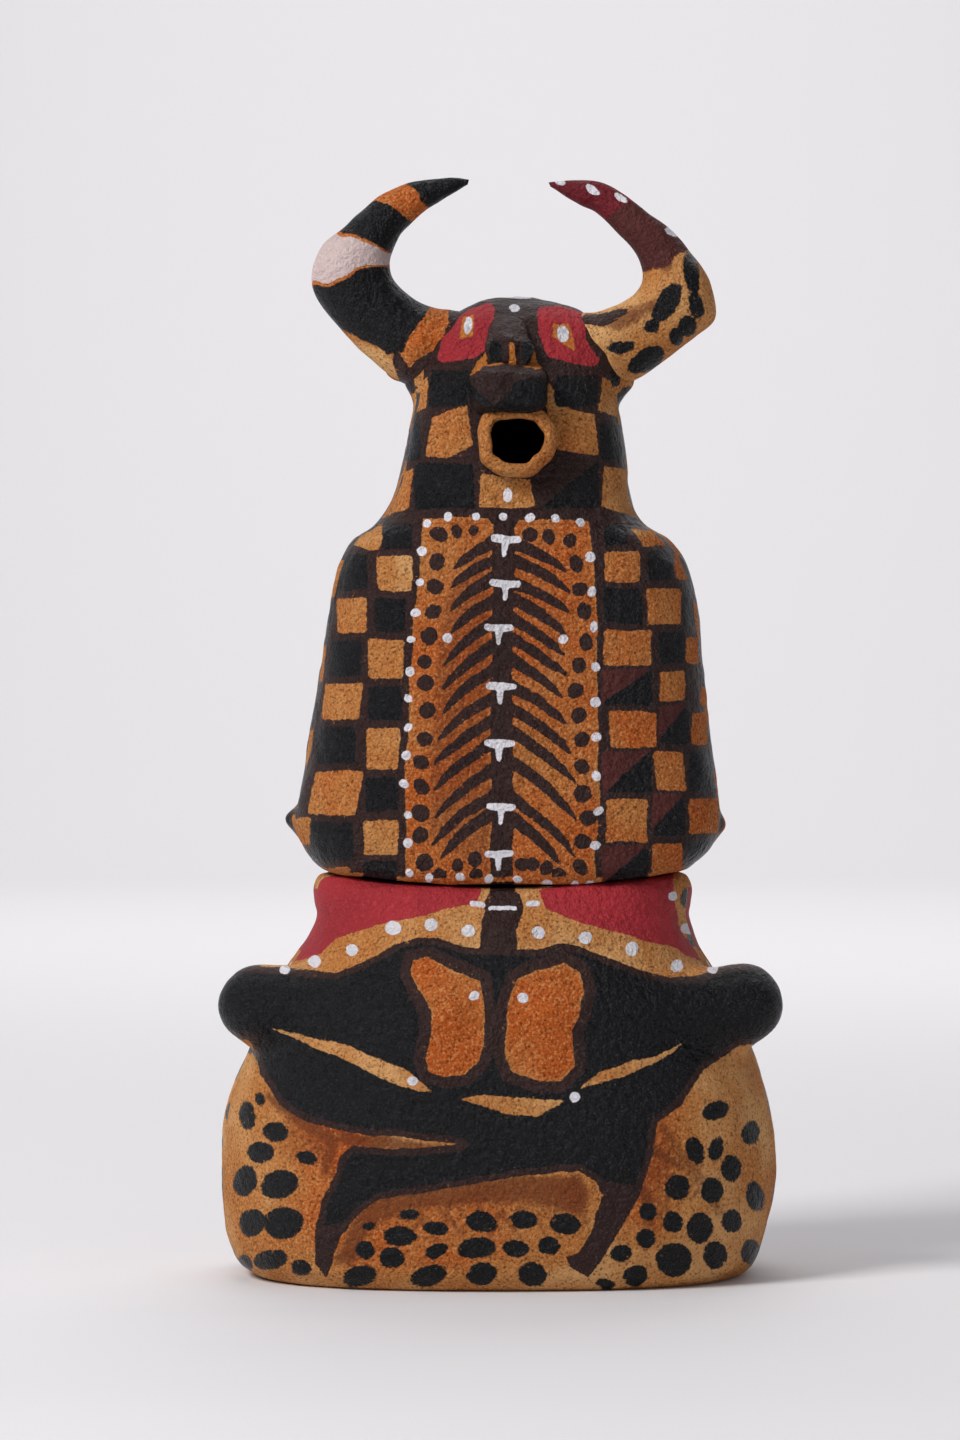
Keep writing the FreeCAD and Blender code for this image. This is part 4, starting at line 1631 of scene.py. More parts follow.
    def black_dots(self) -> list[Mark]:
        """The ring of dark dots inside the panel's edge.

        Returns:
            The marks.
        """
        left = ((-20, 235), (-21.6, 218), (-23.2, 199), (-25, 163), (-26.4, 143), (-24.6, 131))
        right = ((24.4, 226.3), (26.6, 210), (25, 184), (26, 157), (27.3, 143), (25.7, 129))
        return [
            *trail(left, 14, 5.3, 1),
            *trail(((-14.3, 236.7), (-9.2, 237)), 2, 4.0, 2),
            *trail(((8.3, 237), (15, 236), (22, 233.8)), 3, 4.6, 3),
            *trail(right, 13, 5.1, 4),
            *trail(((-19.4, 127.6), (-13.6, 130.6), (-8.4, 132.4)), 3, 4.8, 5),
            *trail(((6.2, 129), (12, 129.6), (18.3, 127)), 4, 4.6, 6),
            dab((-8, 127), 4.2, 4.2),
        ]

    def white_dots(self) -> list[Mark]:
        """The ring of pale dots along the panel's edge, and the two on its breast.

        Returns:
            The marks.
        """
        left = ((-23.4, 239), (-26.5, 220), (-28.4, 196), (-30, 165), (-30.2, 140), (-29.4, 127.5))
        right = ((28.9, 228.5), (30.3, 205.7), (30.8, 180), (30.6, 158), (31.2, 140), (28.7, 124))
        return [
            *trail(left, 13, 2.9, 7, 0.4),
            *trail(((-16.2, 241.4), (-0.3, 241.8), (17.6, 240.6), (25.8, 239.5)), 6, 3.0, 8, 0.3),
            *trail(right, 10, 3.1, 9, 0.4),
            *trail(((-22.5, 126.3), (-3.5, 125.8), (24.4, 123.4)), 6, 2.8, 10, 0.4),
            dab((-17.2, 202.4), 3, 3), dab((20.2, 202.4), 3, 3),
        ]


@dataclass
class Mask:
    """The pattern on the head: eyes over squares."""

    brow: float = 294.0  # the height above which the front's pattern reaches further back
    crown: float = 302.0  # the height above which the head is plain brown

    # bare ochre patches of the cheeks, jaw and chin
    cheeks = [
        patch((-21.8, 273), (-14.7, 275.6), (-10.6, 277.5), (-8.4, 264), (-16.7, 259.8), (-23.8, 260)),
        patch((15.5, 284.6), (22, 276), (30.4, 273.6), (31.4, 261), (22, 261.8), (17.4, 263), (14.6, 277)),
        patch((-22.8, 286.4), (-23.2, 277), (-28.5, 273.6), (-27.4, 281)),
        patch((-27.4, 256.8), (-29, 244.5), (-35, 242.4), (-39, 240.4), (-34, 255)),
        patch((32.3, 286.4), (39.5, 281.5), (39.5, 273), (31.4, 275)),
        patch((33.3, 257.8), (43, 255.4), (44, 241.4), (32.4, 244.6)),
        patch((-6.3, 255.4), (9.8, 253.4), (10.9, 244.6), (-7, 244.6)),
    ]

    # blue-black patches between them
    dark_squares = blocks(
        (-22.6, -10.4, 276.6, 288.2, 0.8), (-27.2, -8.4, 244, 258), (17.4, 31, 276.6, 286.6),
        (32, 44, 259.6, 270.6), (-36, -25.6, 259.4, 271.4), (-44, -36, 244, 254),
    ) + [patch((12.4, 244), (31.4, 259.4), (31.6, 244))]

    # the red of both eyes, spread up on to the brow
    eyes = [
        patch((-15, 304.8), (-9.5, 308), (-2.4, 309.4), (-2, 297), (-9.0, 291.8), (-19.8, 290.8),
              (-18.4, 298), blunt=1.4),
        patch((12, 308), (18, 309), (26.6, 307), (28, 297), (31.6, 289.6), (23, 290.6), (14.6, 293),
              (11.4, 300.6), blunt=1.6),
    ]

    # ochre in the eyes, and the thin lines beside the nose
    glints = [
        patch((16.6, 302.9), (21.8, 303.2), (23.4, 299), (24.2, 294.8), (20, 297), (16.4, 299.2)),
        patch((-12, 305.4), (-8.2, 306), (-8.6, 299), (-12.8, 298.4)),
        patch((-10.4, 286), (-8.2, 290.4), (-5, 294.4), (-2.2, 296.6), (-2.4, 294.8), (-5, 291.6),
              (-4.6, 289.8)),
        patch((9, 296.2), (10.4, 295.6), (11.2, 292), (13, 288), (8.4, 289.4), (9.6, 291.8)),
        stroke((-6.8, 289.4, 1.2), (3.0, 290.6, 0.9), (12.2, 289.6, 1.2)),
    ]

    # the pupils, and the dots on the crown and chin
    whites = [
        dab((-10.2, 302.6), 2.6, 5.8, -8), dab((19.8, 300.2), 4.0, 5.2, 12),
        dab((4.4, 307.9), 3.5, 2.5), stroke((0.7, 311.9, 0.5), (9.8, 311.7, 0.6)),
        dab((2.5, 248.8), 3.0, 4.4),
    ]

    def paint(self, canvas: Canvas) -> None:
        """Paints the head.

        Args:
            canvas: the piece's surface.
        """
        height = canvas.points[:, 2]
        ahead = canvas.depth < np.where(height > self.brow, 6.0, -8.0)
        canvas.warm(0.5, [block(-30, 34, 244, 290)], 1.0)
        crown = height > self.crown
        canvas.flood(Coat.BROWN, crown)
        canvas.coats[Coat.BLACK][crown] = FAR
        canvas.lift(Coat.BROWN, self.cheeks, where=ahead)
        canvas.lay(Coat.BLACK, self.dark_squares, where=ahead)
        canvas.lay(Coat.RED, self.eyes, where=ahead)
        canvas.lay(Coat.OCHRE, self.glints, where=ahead)
        canvas.lay(Coat.WHITE, self.whites, where=ahead)


@dataclass
class LapPattern:
    """The pattern on the lap: a red waist, dark crossed legs, and spots below them."""

    edge: float = -17.0  # the y where the front's free pattern gives way to a regular one

    # the red band either side of the spine, lowest at the hips
    red = [
        patch((-75, 133), (-30, 128), (-6.4, 122.6), (-7.7, 118), (-26, 113.4), (-42.4, 110),
              (-52.6, 106.7), (-57.7, 101), (-72, 98), (-82, 108)),
        patch((12, 121.8), (30, 125.6), (55, 129), (55.6, 117), (57.6, 109), (64.6, 99), (59.6, 100.6),
              (53.5, 104.7), (46.3, 105.7), (37.2, 108.3), (24.9, 111.8), (14.7, 116)),
    ]

    # the spine's foot, down over the ledge into the legs
    spine = [
        stroke((0.4, 128, 7.6), (0.4, 119, 8.2)), stroke((0.8, 116.5, 12.6), (0.2, 113, 11.5)),
        stroke((-0.8, 111, 11.4), (-0.8, 99, 12)),
    ]

    # bare ochre between the legs, and the slivers that part the shins
    wings = [
        patch((-27.6, 99), (-23.5, 100.3), (-18, 97.6), (-6.7, 92.5), (-5.2, 84.3), (-5.2, 74), (-6.7, 68),
              (-11.8, 63), (-18, 62), (-23, 64), (-24, 68), (-22, 76), (-22, 83.3), (-26, 89.4),
              (-28.4, 95.5)),
        patch((5.5, 93.5), (11.7, 96.5), (19.8, 98.4), (25, 95.5), (26.5, 89.4), (25, 82.3), (22.4, 77.2),
              (23.4, 70), (23.4, 65), (18.8, 61), (11.7, 61), (3.5, 64), (1.5, 70), (2, 82.3), (3.5, 88.4)),
        patch((-74, 77.7), (-60.8, 75), (-49.5, 72), (-39.3, 68), (-29, 64), (-22, 57), (-26, 57.3),
              (-35.3, 60.3), (-49.5, 67), (-62.8, 73)),
        patch((-13.8, 54.7), (-5.7, 56.3), (4.5, 55.7), (20.8, 54.9), (11.7, 49.6), (3.5, 50.1),
              (-4.7, 52.2)),
        patch((25, 58.3), (32, 64), (42.3, 67.5), (50.4, 68.5), (59.6, 74), (52.5, 68), (39.2, 62.4)),
    ]

    # rust washes under the legs
    rust = [
        patch((-53, 2), (-49, 14), (-40, 25), (0, 30), (26, 31), (29, 24), (27, 18), (8, 22), (-28, 20),
              (-42, 13), (-47, 2)),
        stroke((42, 45, 5), (50, 38, 4), (58, 33, 2)), stroke((42, 32, 5), (47, 22, 4), (48, 14, 2)),
        stroke((-74, 56, 3), (-62, 47, 6), (-54, 42, 5), (-56, 32, 3)),
        stroke((-50, 43, 5), (-16, 37.5, 4)),
    ]

    def paint(self, canvas: Canvas) -> None:
        """Paints the lap and the thighs over it.

        Args:
            canvas: the piece's surface.
        """
        ahead, behind = canvas.depth < self.edge, canvas.depth >= self.edge
        canvas.warmth[:] = 0.28
        canvas.warm(0.85, [patch((-64, 64), (-40, 50), (-50, 4), (-68, 14))], 8.0)
        canvas.warm(0.75, [patch((34, 52), (60, 56), (52, 10), (36, 14))], 8.0)
        canvas.warm(0.7, [patch((-48, 22), (28, 32), (26, 2), (-48, 0))], 4.0)
        canvas.warm(0.95, self.wings[:2], 1.5)
        canvas.lay(Coat.RUST, [*self.rust, *self.brushwork()], where=ahead)
        canvas.lay(Coat.BLACK, self.spots(), where=ahead)
        canvas.lay(Coat.BLACK, [scatter(12.5, 12.0, -1.0, 66.0, 4.2, 31)], on=canvas.around, where=behind)
        canvas.lay(Coat.BLACK, [dab((60, 119), 5, 7, 10), dab((62, 107), 4, 8, -14)], where=ahead)
        canvas.lay(Coat.RED, self.red, where=ahead)
        canvas.lay(Coat.RED, [band(113.0, 10.0)], on=canvas.around, where=behind)
        canvas.lay(Coat.BROWN, [self.legs()], where=ahead)
        canvas.lay(Coat.BROWN, [band(83.0, 12.5)], on=canvas.around, where=behind)
        canvas.lay(Coat.BLACK, self.sheen(), where=ahead)
        canvas.lift(Coat.BROWN, self.wings, where=ahead)
        canvas.lift(Coat.BLACK, self.wings, where=ahead)
        canvas.lay(Coat.BROWN, self.spine, where=ahead)
        canvas.lift(Coat.RED, self.spine, where=ahead)
        canvas.lay(Coat.WHITE, self.white_dots(), where=ahead)
        for start, end, count, seed in ((-150, 150, 27, 12), (-210, -150, 6, 13), (150, 210, 6, 14)):
            dots = trail(((start, 98.5), (end, 98.5)), count, 4.0, seed)
            canvas.lay(Coat.WHITE, dots, on=canvas.around, where=behind)

    def legs(self) -> Mark:
        """The outline of both crossed legs: thighs above, shins and feet below.

        Returns:
            The mark.
        """
        return patch(
            (-96, 98), (-83, 98), (-68, 97), (-52.6, 95.5), (-38.3, 101.6), (-32, 105.2), (-26, 107),
            (-20, 106.6), (-12.8, 103.7), (-7.7, 103), (5.5, 103), (11.7, 103.2), (18.8, 105), (25, 103.7),
            (34, 100.6), (45.3, 96.5), (54.5, 94), (63.7, 94.5), (73, 98), (96, 99.6), (98, 72), (76.7, 72),
            (64.7, 64), (57.6, 52.7), (50, 47.6), (48.4, 37.4), (44.3, 24), (39.2, 15), (32, 2.7),
            (28.5, -2), (22, 1.5), (20.8, 4.2), (25, 5.8), (29, 13), (32.6, 24), (30, 29.2), (25, 32.3),
            (18.8, 32.3), (-1.6, 28.7), (-22, 25.7), (-39.3, 23), (-46.5, 17), (-51.6, 11), (-53.6, 2.7),
            (-55.7, -2), (-59.2, 2.7), (-59.7, 13), (-57.7, 23), (-53.6, 29.2), (-51.6, 36.4),
            (-47.5, 40.4), (-34, 39), (-13, 40.4), (-42.4, 43.6), (-49.5, 45), (-63, 47.6), (-71, 53.7),
            (-77, 63), (-80, 74), (-96, 76),
        )

    def sheen(self) -> list[Mark]:
        """Blue-black inside the legs' brown edges, clear of the frame round the wings and of the feet.

        Returns:
            The mark, alone in a list.
        """
        legs, left, right = self.legs(), *self.wings[:2]
        feet = [
            patch((-64, 14), (-44, 16), (-44, -8), (-64, -8)),
            patch((30, 30), (46, 26), (40, -8), (14, -8)),
        ]

        def distance(flat: Array) -> Array:
            """Inside the legs by an edge's width, and outside the frame and the feet."""
            frame = 3.7 - np.minimum(left(flat), right(flat))
            return np.maximum.reduce([legs(flat) + 2.2, frame, *(-foot(flat) for foot in feet)])

        return [distance]

    def brushwork(self) -> list[Mark]:
        """Curved strokes of a half-dry brush beside the legs.

        Returns:
            The marks.
        """
        fans = (
            ((45.0, 44.0), (56.0, 40.0), 9, (2.0, -2.6)), ((10.0, 24.0), (24.0, 24.0), 5, (1.2, -1.6)),
            ((-72.0, 46.0), (-56.0, 40.0), 6, (1.0, -2.2)), ((44.0, 30.0), (46.0, 16.0), 4, (2.6, 0.2)),
            ((-36.0, 20.0), (-24.0, 20.0), 7, (6.4, 0.4)), ((-30.0, 12.0), (-20.0, 12.0), 5, (8.6, 0.6)),
        )
        marks = []
        for (left, low), (right, high), count, (on, up) in fans:
            for step in range(count):
                dx, dz = step * on, step * up
                top = ((left + right) / 2 + dx, max(low, high) + 4.5 + dz, 1.3)
                marks.append(stroke((left + dx, low + dz, 0.4), top, (right + dx, high + dz - 3, 0.4)))
        return marks

    def spots(self) -> list[Mark]:
        """Leopard spots: (across, up, width, height).

        Returns:
            The marks.
        """
        places = (
            (-42, 14, 4.4, 2.6), (-29.3, 18, 6.4, 3.2), (-32.2, 11, 9, 5.6), (-21, 13.7, 7.6, 4.4),
            (-6, 15.5, 9, 6.2), (7.3, 16.6, 8, 5.6), (20.8, 15, 9, 6.4), (-43.4, 6.8, 6, 5.4),
            (-34.8, 4.2, 7.6, 6.4), (-20.8, 6.3, 7, 4.4), (-8, 7, 11, 6.4), (4.5, 7.3, 8.4, 5.4),
            (15.5, 8, 7, 5.4), (-45, -1.4, 10, 6), (-23, -1.4, 11, 6), (-6.2, -0.9, 9, 6),
            (10, -0.9, 8.6, 7), (-77, 54.7, 2.6, 3.6), (-81, 49.6, 4.4, 8), (-72, 44.5, 8, 6),
            (-77, 38, 8, 6.4), (-81.7, 28.7, 7, 9), (-70.8, 27.7, 11, 8.4), (-79.3, 15.5, 7.6, 8),
            (-69.4, 15.5, 11.4, 9.4), (-73.5, 3.7, 10, 6), (-63.8, 1.2, 6, 5), (68.8, 51.2, 8.4, 5.4),
            (62.2, 38.4, 5.6, 9), (69, 39, 4.4, 7), (73.9, 32.8, 6, 8), (56.5, 26.7, 7.6, 7.4),
            (67.8, 26.2, 6.4, 7.6), (47, 19, 5.4, 5), (55, 16, 6, 6.4), (63.7, 13.9, 8, 9.6),
            (73.9, 16, 6, 7), (46.3, 10.4, 5.6, 5.6), (55.3, 3.7, 10.4, 10), (38.7, 5.5, 6.4, 5),
            (68.5, 4.9, 7.4, 8.4), (43.3, -1.6, 7.6, 6), (33.6, -4.2, 5.6, 3), (80, 44, 5, 7),
            (81.5, 24, 5, 9), (80, 6, 6, 7), (-82, 2, 5, 6), (-62, 36, 6, 4),
        )
        hand = np.random.default_rng(5)
        return [dab((x, z), 1.09 * wide, 1.09 * tall, hand.uniform(-18, 18)) for x, z, wide, tall in places]

    def white_dots(self) -> list[Mark]:
        """Pale dots under the red band, at its inner ends and about the wings.

        Returns:
            The marks.
        """
        places = (
            (-69, 96.4, 3.4), (-59.7, 98.8, 4), (-47.5, 103, 4.2), (-34.2, 109.6, 4.8), (-22.3, 111, 4.2),
            (-10.5, 108.8, 4.2), (11.7, 108.3, 4.2), (27.3, 106.7, 4.4), (42.3, 103.2, 4.4),
            (56.2, 97.6, 4.2), (68, 96.6, 3.6), (60, 109.3, 4), (55, 120.2, 3.2), (-8.7, 88, 3.4),
            (7.3, 87.4, 3.4), (-28.4, 61, 3.4), (23.7, 56, 3.4),
        )
        ends = [stroke((x - 1.6, 117.7, 1.8), (x + 1.6, 117.6, 1.8)) for x in (-7.4, 10.4)]
        ends.append(stroke((-3.6, 116.4, 1.3), (4.6, 116.4, 1.2)))
        return ends + [dab((x, z), size, size * 0.94) for x, z, size in places]


@dataclass
class HornPattern:
    """The bands of paint along a horn: each a range of the sweep in degrees, at the outer and inner edge.

    Attributes:
        horn: the horn it is on.
        bands: (paint, (start at the outer edge, at the inner edge), (end at the outer, at the inner)).
        marks: what paints the rest.
    """

    horn: Horn
    bands: Sequence[tuple[Coat, Point, Point]]
    marks: Callable[[Canvas], None] | None = None

    def paint(self, canvas: Canvas) -> None:
        """Paints each band by the sweep, slanted by how far a point is from the inner edge.

        Args:
            canvas: the piece's surface.
        """
        away = canvas.points - self.horn.centre()
        sweep = np.degrees(np.arctan2(-away[:, 2], -self.horn.side * away[:, 0])) % 360.0
        reach = np.hypot(away[:, 0], away[:, 2])
        stations = np.array(self.horn.stations)
        middle, thick = (np.interp(sweep, stations[:, 0], stations[:, column]) for column in (1, 2))
        outward = np.clip(0.5 + (reach - middle) / (2 * np.maximum(thick, 1.0)), 0.0, 1.0)
        wobble = 3.0 * canvas.waver(canvas.points + 7.0, 6.0)
        for coat, start, end in self.bands:
            first = start[1] + (start[0] - start[1]) * outward + wobble
            last = end[1] + (end[0] - end[1]) * outward + wobble
            distance = np.maximum(first - sweep, sweep - last) * math.radians(1.0) * np.maximum(reach, 6.0)
            canvas.coats[coat] = np.minimum(canvas.coats[coat], distance)
        if self.marks:
            self.marks(canvas)


def root_shadow() -> Mark:
    """Painted shadow under the right horn's root: brown, ragged where it meets the bare cuff.

    Returns:
        The mark.
    """
    return patch(
        (-33.4, 295.4), (-31.4, 291.4), (-29.4, 288.2), (-26.4, 291.4), (-23.6, 292.6), (-20, 294.6),
        (-16, 293), (-18, 272), (-31, 272), (-32, 284), (-33.4, 288.4), (-34.6, 292), blunt=0.4,
    )


def banded_horn_marks(canvas: Canvas) -> None:
    """The bare strip along the underside of the right horn, and the painted shadow under its root.

    Args:
        canvas: the piece's surface.
    """
    canvas.warmth[:] = 0.75
    strip = patch(
        (-54, 302), (-50.3, 301), (-44.9, 298.2), (-37.8, 294.6), (-33.8, 291.6), (-33, 284), (-44, 284),
    )
    canvas.warm(0.0, [strip])
    canvas.lift(Coat.BLACK, [strip])
    # painted shadow: brown under the horn's root
    canvas.lay(Coat.BROWN, [root_shadow()])


def spotted_horn_marks(canvas: Canvas) -> None:
    """Long dark spots on the left horn's bend and root, and pale dabs towards its tip.

    Args:
        canvas: the piece's surface.
    """
    spots = (
        (61.4, 319.0, 5.0, 14, 14), (53.4, 309.6, 7, 15, -34), (63, 309, 5, 9.4, 12),
        (60, 302.4, 6, 6.4, 0), (46.6, 291.4, 13, 7, 28), (38.6, 296, 9, 4.2, 10), (56.4, 299, 4.6, 5.4, 0),
        (48.4, 302, 5.4, 4.4, 30),
    )
    canvas.warmth[:] = 0.2
    canvas.lay(Coat.BLACK, [dab((x, z), wide, tall, turn) for x, z, wide, tall, turn in spots])
    washes = [stroke((28, 305, 3), (38, 304, 5), (50, 309, 3)), stroke((50, 330, 3), (53, 322, 5))]
    canvas.lay(Coat.RUST, washes)
    canvas.lay(Coat.BROWN, [stroke((25, 304.4, 2), (33, 304.6, 4), (40, 307, 1.5))])
    canvas.lay(Coat.BROWN, [stroke((28, 291, 3), (36, 285, 2.4), (42, 279.5, 3))])
    pale = ((18.8, 348.6), (29.4, 346.2), (38.4, 343.4), (55.4, 332.4))
    canvas.lay(Coat.WHITE, [dab((x, z), 5.0, 2.2, -32) for x, z in pale])


# ==== Assembly ====
def horns() -> dict[str, HornPattern]:
    """Both horns with their bands: the right one in blocks of colour, the left one red at the tip.

    Returns:
        The right and the left horn's patterns by name, each with its horn.
    """
    right = Horn(
        side=-1,
        stations=(
            (79, 31.6, 13.2), (88, 31.0, 13.6), (98, 30.8, 13.4), (111, 30, 12.8), (128, 29.4, 11.7),
            (145, 29.8, 11.5), (158, 31.2, 12.4), (168, 31.4, 12.8), (176, 30.4, 12.3), (185, 28.4, 11.2),
            (192, 26, 9.4), (205, 23.6, 7.6), (219, 22.2, 6.6), (243, 21, 5.1), (266, 21.3, 3.3),
            (280, 23.0, 1.8), (286, 24.2, 0.8),
        ),
        lumps=(Bump((-24, -10.5, 303.0), (-30.0, -9.0, 293.0), 2.6, 2.2, 2.4),),
    )
    left = Horn(
        side=1,
        stations=(
            (79, 32, 12.8), (88, 31.6, 13.0), (100, 31.6, 12.6), (115, 31, 12), (130, 31, 11.4),
            (145, 32.2, 12.0), (154, 33.4, 13.2), (162, 31.6, 12.2), (172, 28.4, 10.6), (181, 25.4, 9),
            (195, 21.8, 7.4), (210, 19, 6.2), (236, 18, 5.2), (256, 18.9, 4.7), (277, 20.2, 3.8),
            (288, 22.2, 2.6), (296, 25, 0.8),
        ),
        lumps=(
            Bump((36.0, -8.0, 297.0), (54.0, -7.5, 316.0), 5.0, 2.4, 3.6),
            Bump((62.0, -3.0, 309.5), (65.6, -2.6, 309.0), 4.2, 2.4, 3.0),
        ),
    )
    return {
        "horn_right": HornPattern(
            right,
            (
                (Coat.BLACK, (240, 248), (300, 300)),
                (Coat.BLACK, (193, 183), (216, 224)),
                (Coat.CREAM, (167, 170), (190, 182)),
                (Coat.BLACK, (122, 106), (165, 168)),
                (Coat.BROWN, (60, 60), (97, 86)),
            ),
            banded_horn_marks,
        ),
        "horn_left": HornPattern(
            left,
            ((Coat.WINE, (224, 238), (320, 320)), (Coat.MAROON, (185, 163), (240, 252))),
            spotted_horn_marks,
        ),
    }


@dataclass
class Cuff:
    """The coil pressed round the right horn's root: a fat ring about the crescent at one sweep.

    Attributes:
        horn: the horn.
        sweep: where it is along the horn, in degrees.
        reach: how far the ring's middle is from the crescent's centre.
        round_horn: the ring's radius.
        flat: its depth as a share of its height.
    """

    horn: Horn
    sweep: float = 106.0
    reach: float = 30.8
    round_horn: float = 11.6
    flat: float = 0.88

    def build(self) -> Solid:
        """A coil of wavering thickness, carried round the horn and leaning with it.

        Returns:
            The closed ring.
        """
        sweep, side = math.radians(self.sweep), self.horn.side
        along = np.array([side * math.sin(sweep), 0.0, -math.cos(sweep)])
        outward = np.array([-side * math.cos(sweep), 0.0, -math.sin(sweep)])
        middle = self.horn.centre() + outward * self.reach
        turn = turns(150)[:, None]
        round_it = turns(40)[None, :]
        fat = 1.7 + 0.45 * np.sin(turn + 2.2) + 0.3 * np.sin(3 * turn) + 0.2 * np.sin(7 * turn)
        away = self.round_horn - 1.6 * (0.5 + 0.5 * np.cos(turn)) ** 2 + fat * np.cos(round_it)
        across = self.flat * away * np.sin(turn)
        upward = away * np.cos(turn)
        lean = 4.0 * np.cos(turn) + fat * 1.9 * np.sin(round_it) + 0.8 * np.sin(2 * turn)
        grid = middle + upward[..., None] * outward + lean[..., None] * along
        grid[..., 1] += across
        return Solid.ring(grid)

    def paint(self, canvas: Canvas) -> None:
        """Bare above, with painted shadow below."""
        canvas.warmth[:] = 0.75
        # painted shadow: brown on the coil's underside, below the horn's root
        canvas.lay(Coat.BROWN, [root_shadow()])


@dataclass(frozen=True)
class Piece:
    """One finished piece of the figure.

    Attributes:
        name: its object's name.
        solid: its shape.
        paint: what paints it.
        slot: its material slot in the record.
        nodes: the CAD nodes that it stands for.
        opening: a shape that is cut out of it.
    """

    name: str
    solid: Solid
    paint: Painter
    slot: str
    nodes: Sequence[str]
    opening: Solid | None = None

    def finish(self, clay: bpy.types.Material) -> None:
        """Makes the object, paints it and fits it to the frame.

        Args:
            clay: the material that it gets.
        """
        made = self.solid.to_object(self.name)
        canvas = Canvas(self.solid.points, self.solid.skin)
        self.paint(canvas)
        canvas.store(made.data)
        if self.opening:
            cut_opening(made, self.opening.to_object("cutter"))
        made.data.materials.append(clay)
        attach(made, "root")
        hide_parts(*self.nodes)
        LOG.info("%s: %d vertices, for %s", made.name, len(made.data.vertices), ", ".join(self.nodes))


def all_pieces() -> list[Piece]:
    """Every piece, from the foot up.

    Returns:
        The pieces, in the order that they are finished in.
    """
    lap, trunk, face, crescents = Lap().build(), Trunk(), Face(), horns()
    body = trunk.build()
    legs = LapPattern().paint
    right, left = crescents["horn_right"], crescents["horn_left"]
    cuff = Cuff(right.horn)
    elbows = ["torso_back", "elbow_left", "elbow_right"]
    waist = ["lap_front", "thigh_left", "thigh_right", "waist_ledge"]
    return [
        Piece("lap_front_slab", lap["lap_front"], legs, "spotted_paint", waist),
        Piece("lap_back_slab", lap["lap_back"], legs, "spotted_paint", ["lap_back"]),
        Piece("torso_front_slab", body["torso_front"], trunk.paint, "painted_clay", ["torso_front"]),
        Piece("torso_back_slab", body["torso_back"], trunk.paint, "painted_clay", elbows),
        Piece("head_dome", body["head"], trunk.paint, "painted_clay", ["head_shell"], face.opening()),
        Piece("lip_coil", face.lip(), face.paint_lip, "painted_clay", ["mouth_ring"]),
        Piece("snout", face.muzzle(), face.paint_muzzle, "dark_paint", ["muzzle"]),
        Piece("nose_bridge", face.nose(), face.paint_nose, "dark_paint", ["nose_ridge"]),
        Piece("horn_right_crescent", right.horn.build(), right.paint, "horn_paint", ["horn_right"]),
        Piece("horn_left_crescent", left.horn.build(), left.paint, "horn_paint", ["horn_left"]),
        Piece("cuff_coil", cuff.build(), cuff.paint, "horn_paint", ["horn_cuff"]),
    ]


def place_camera() -> None:
    """A level camera in front of the figure."""
    lens = bpy.data.cameras.new("front")
    lens.sensor_fit, lens.sensor_height, lens.sensor_width = "VERTICAL", 36.0, 24.0
    lens.lens, lens.clip_end = 117.19, 20.0
    camera = bpy.data.objects.new("front", lens)
    camera.location = (-6.4 * MM, -VIEW_DISTANCE * MM, 176.3 * MM)
    camera.rotation_euler = (math.pi / 2, 0.0, 0.0)
    bpy.context.scene.collection.objects.link(camera)
    bpy.context.scene.camera = camera


def lay_floor() -> None:
    """A pale floor that curves up into a backdrop: a profile drawn out sideways."""
    reach, start, radius, top = 8.0, 3.6, 1.2, 5.0  # in metres
    bend = np.linspace(0.0, math.pi / 2, 24)
    curve = zip(start + radius * np.sin(bend), radius - radius * np.cos(bend))
    profile = [(-reach, 0.0), *curve, (start + radius, top)]
    points = [(x, y, z) for y, z in profile for x in (-reach, reach)]
    faces = [(2 * row, 2 * row + 1, 2 * row + 3, 2 * row + 2) for row in range(len(profile) - 1)]
    mesh = bpy.data.meshes.new("floor")
    mesh.from_pydata(points, [], faces)
    mesh.polygons.foreach_set("use_smooth", np.ones(len(faces), dtype=bool))
    floor = bpy.data.objects.new("floor", mesh)
    bpy.context.scene.collection.objects.link(floor)
    bench = Bench("floor")
    bench.surface.inputs["Base Color"].default_value = (0.82, 0.80, 0.815, 1.0)
    bench.surface.inputs["Roughness"].default_value = 0.7
    mesh.materials.append(bench.material)


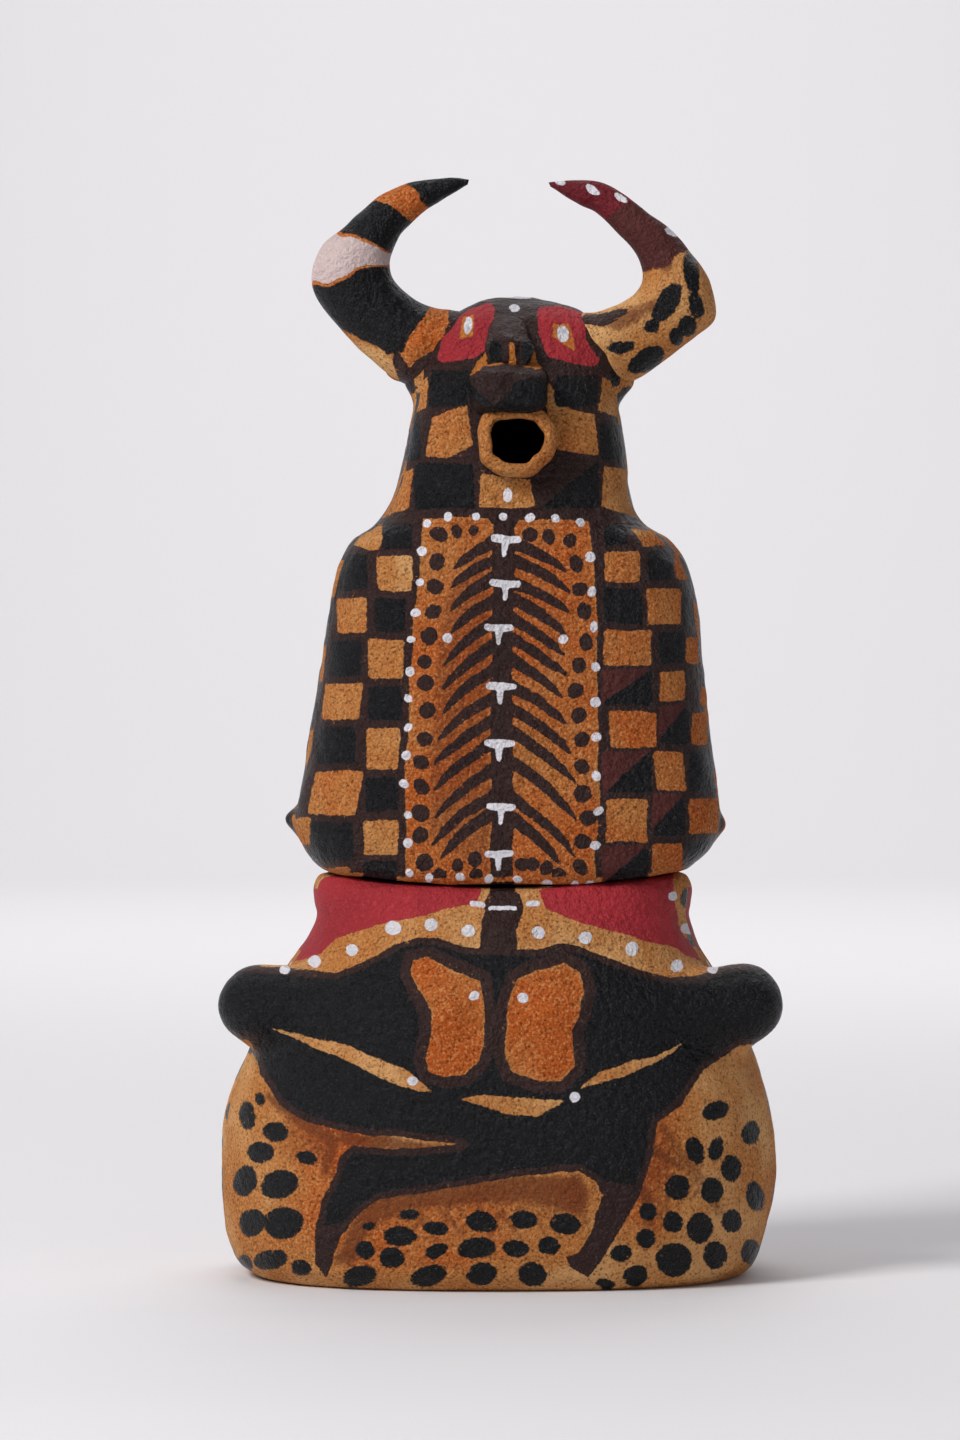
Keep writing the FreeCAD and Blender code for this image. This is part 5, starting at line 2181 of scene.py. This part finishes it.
@dataclass(frozen=True)
class Lamp:
    """A square panel of soft light: where it hangs, what it faces, its size in metres and its watts."""

    name: str
    place: Place
    faces: Place
    size: float
    watts: float

    def hang(self) -> None:
        """Adds the lamp, turned so that it shines at what it faces."""
        light = bpy.data.lights.new(self.name, "AREA")
        light.energy, light.size = self.watts, self.size
        made = bpy.data.objects.new(self.name, light)
        made.location = self.place
        towards = Vector(self.faces) - Vector(self.place)
        made.rotation_euler = towards.to_track_quat("-Z", "Y").to_euler()
        bpy.context.scene.collection.objects.link(made)


def light_scene() -> None:
    """Soft light from the left, a little from the right, above and behind, and a bright backdrop."""
    lamps = (
        Lamp("key", (-1.1, -1.0, 1.35), (0.0, 0.0, 0.2), 0.6, 28.0),
        Lamp("fill", (1.3, -1.2, 0.7), (0.0, 0.0, 0.2), 1.0, 1.9),
        Lamp("top", (-0.2, 0.3, 2.1), (0.0, 0.1, 0.0), 1.2, 5.0),
        Lamp("backdrop", (0.0, 2.3, 2.9), (0.0, 4.4, 0.4), 2.6, 78.0),
        Lamp("behind", (0.9, 1.6, 1.3), (0.0, 0.0, 0.2), 0.8, 2.5),
    )
    for lamp in lamps:
        lamp.hang()
    world = bpy.data.worlds.new("room")
    world.use_nodes = True
    glow = world.node_tree.nodes["Background"].inputs
    glow["Color"].default_value = (0.93, 0.94, 1.0, 1.0)
    glow["Strength"].default_value = 0.22
    bpy.context.scene.world = world
    bpy.context.scene.view_settings.view_transform = "Standard"


SMOOTHED_SLOTS = ("spotted_paint", "horn_paint")  # finishes that a wet hand went over


def main() -> None:
    """Builds every piece in order, and sets the scene."""
    logging.basicConfig(level=logging.INFO, format="%(message)s")
    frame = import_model()
    clay = PaintedClay("painted_clay").make()
    smoothed = PaintedClay("smoothed_clay", grit=0.17, lumps=1.5).make()
    bare = PaintedClay("bare_clay", shade=0.12, grit=0.3, painted=False).make()
    for piece in all_pieces():
        piece.finish(smoothed if piece.slot in SMOOTHED_SLOTS else clay)
    slab = frame["nodes"]["floor_slab"]
    slab.data.materials.clear()
    slab.data.materials.append(bare)
    place_camera()
    lay_floor()
    light_scene()


if __name__ == "__main__":
    main()
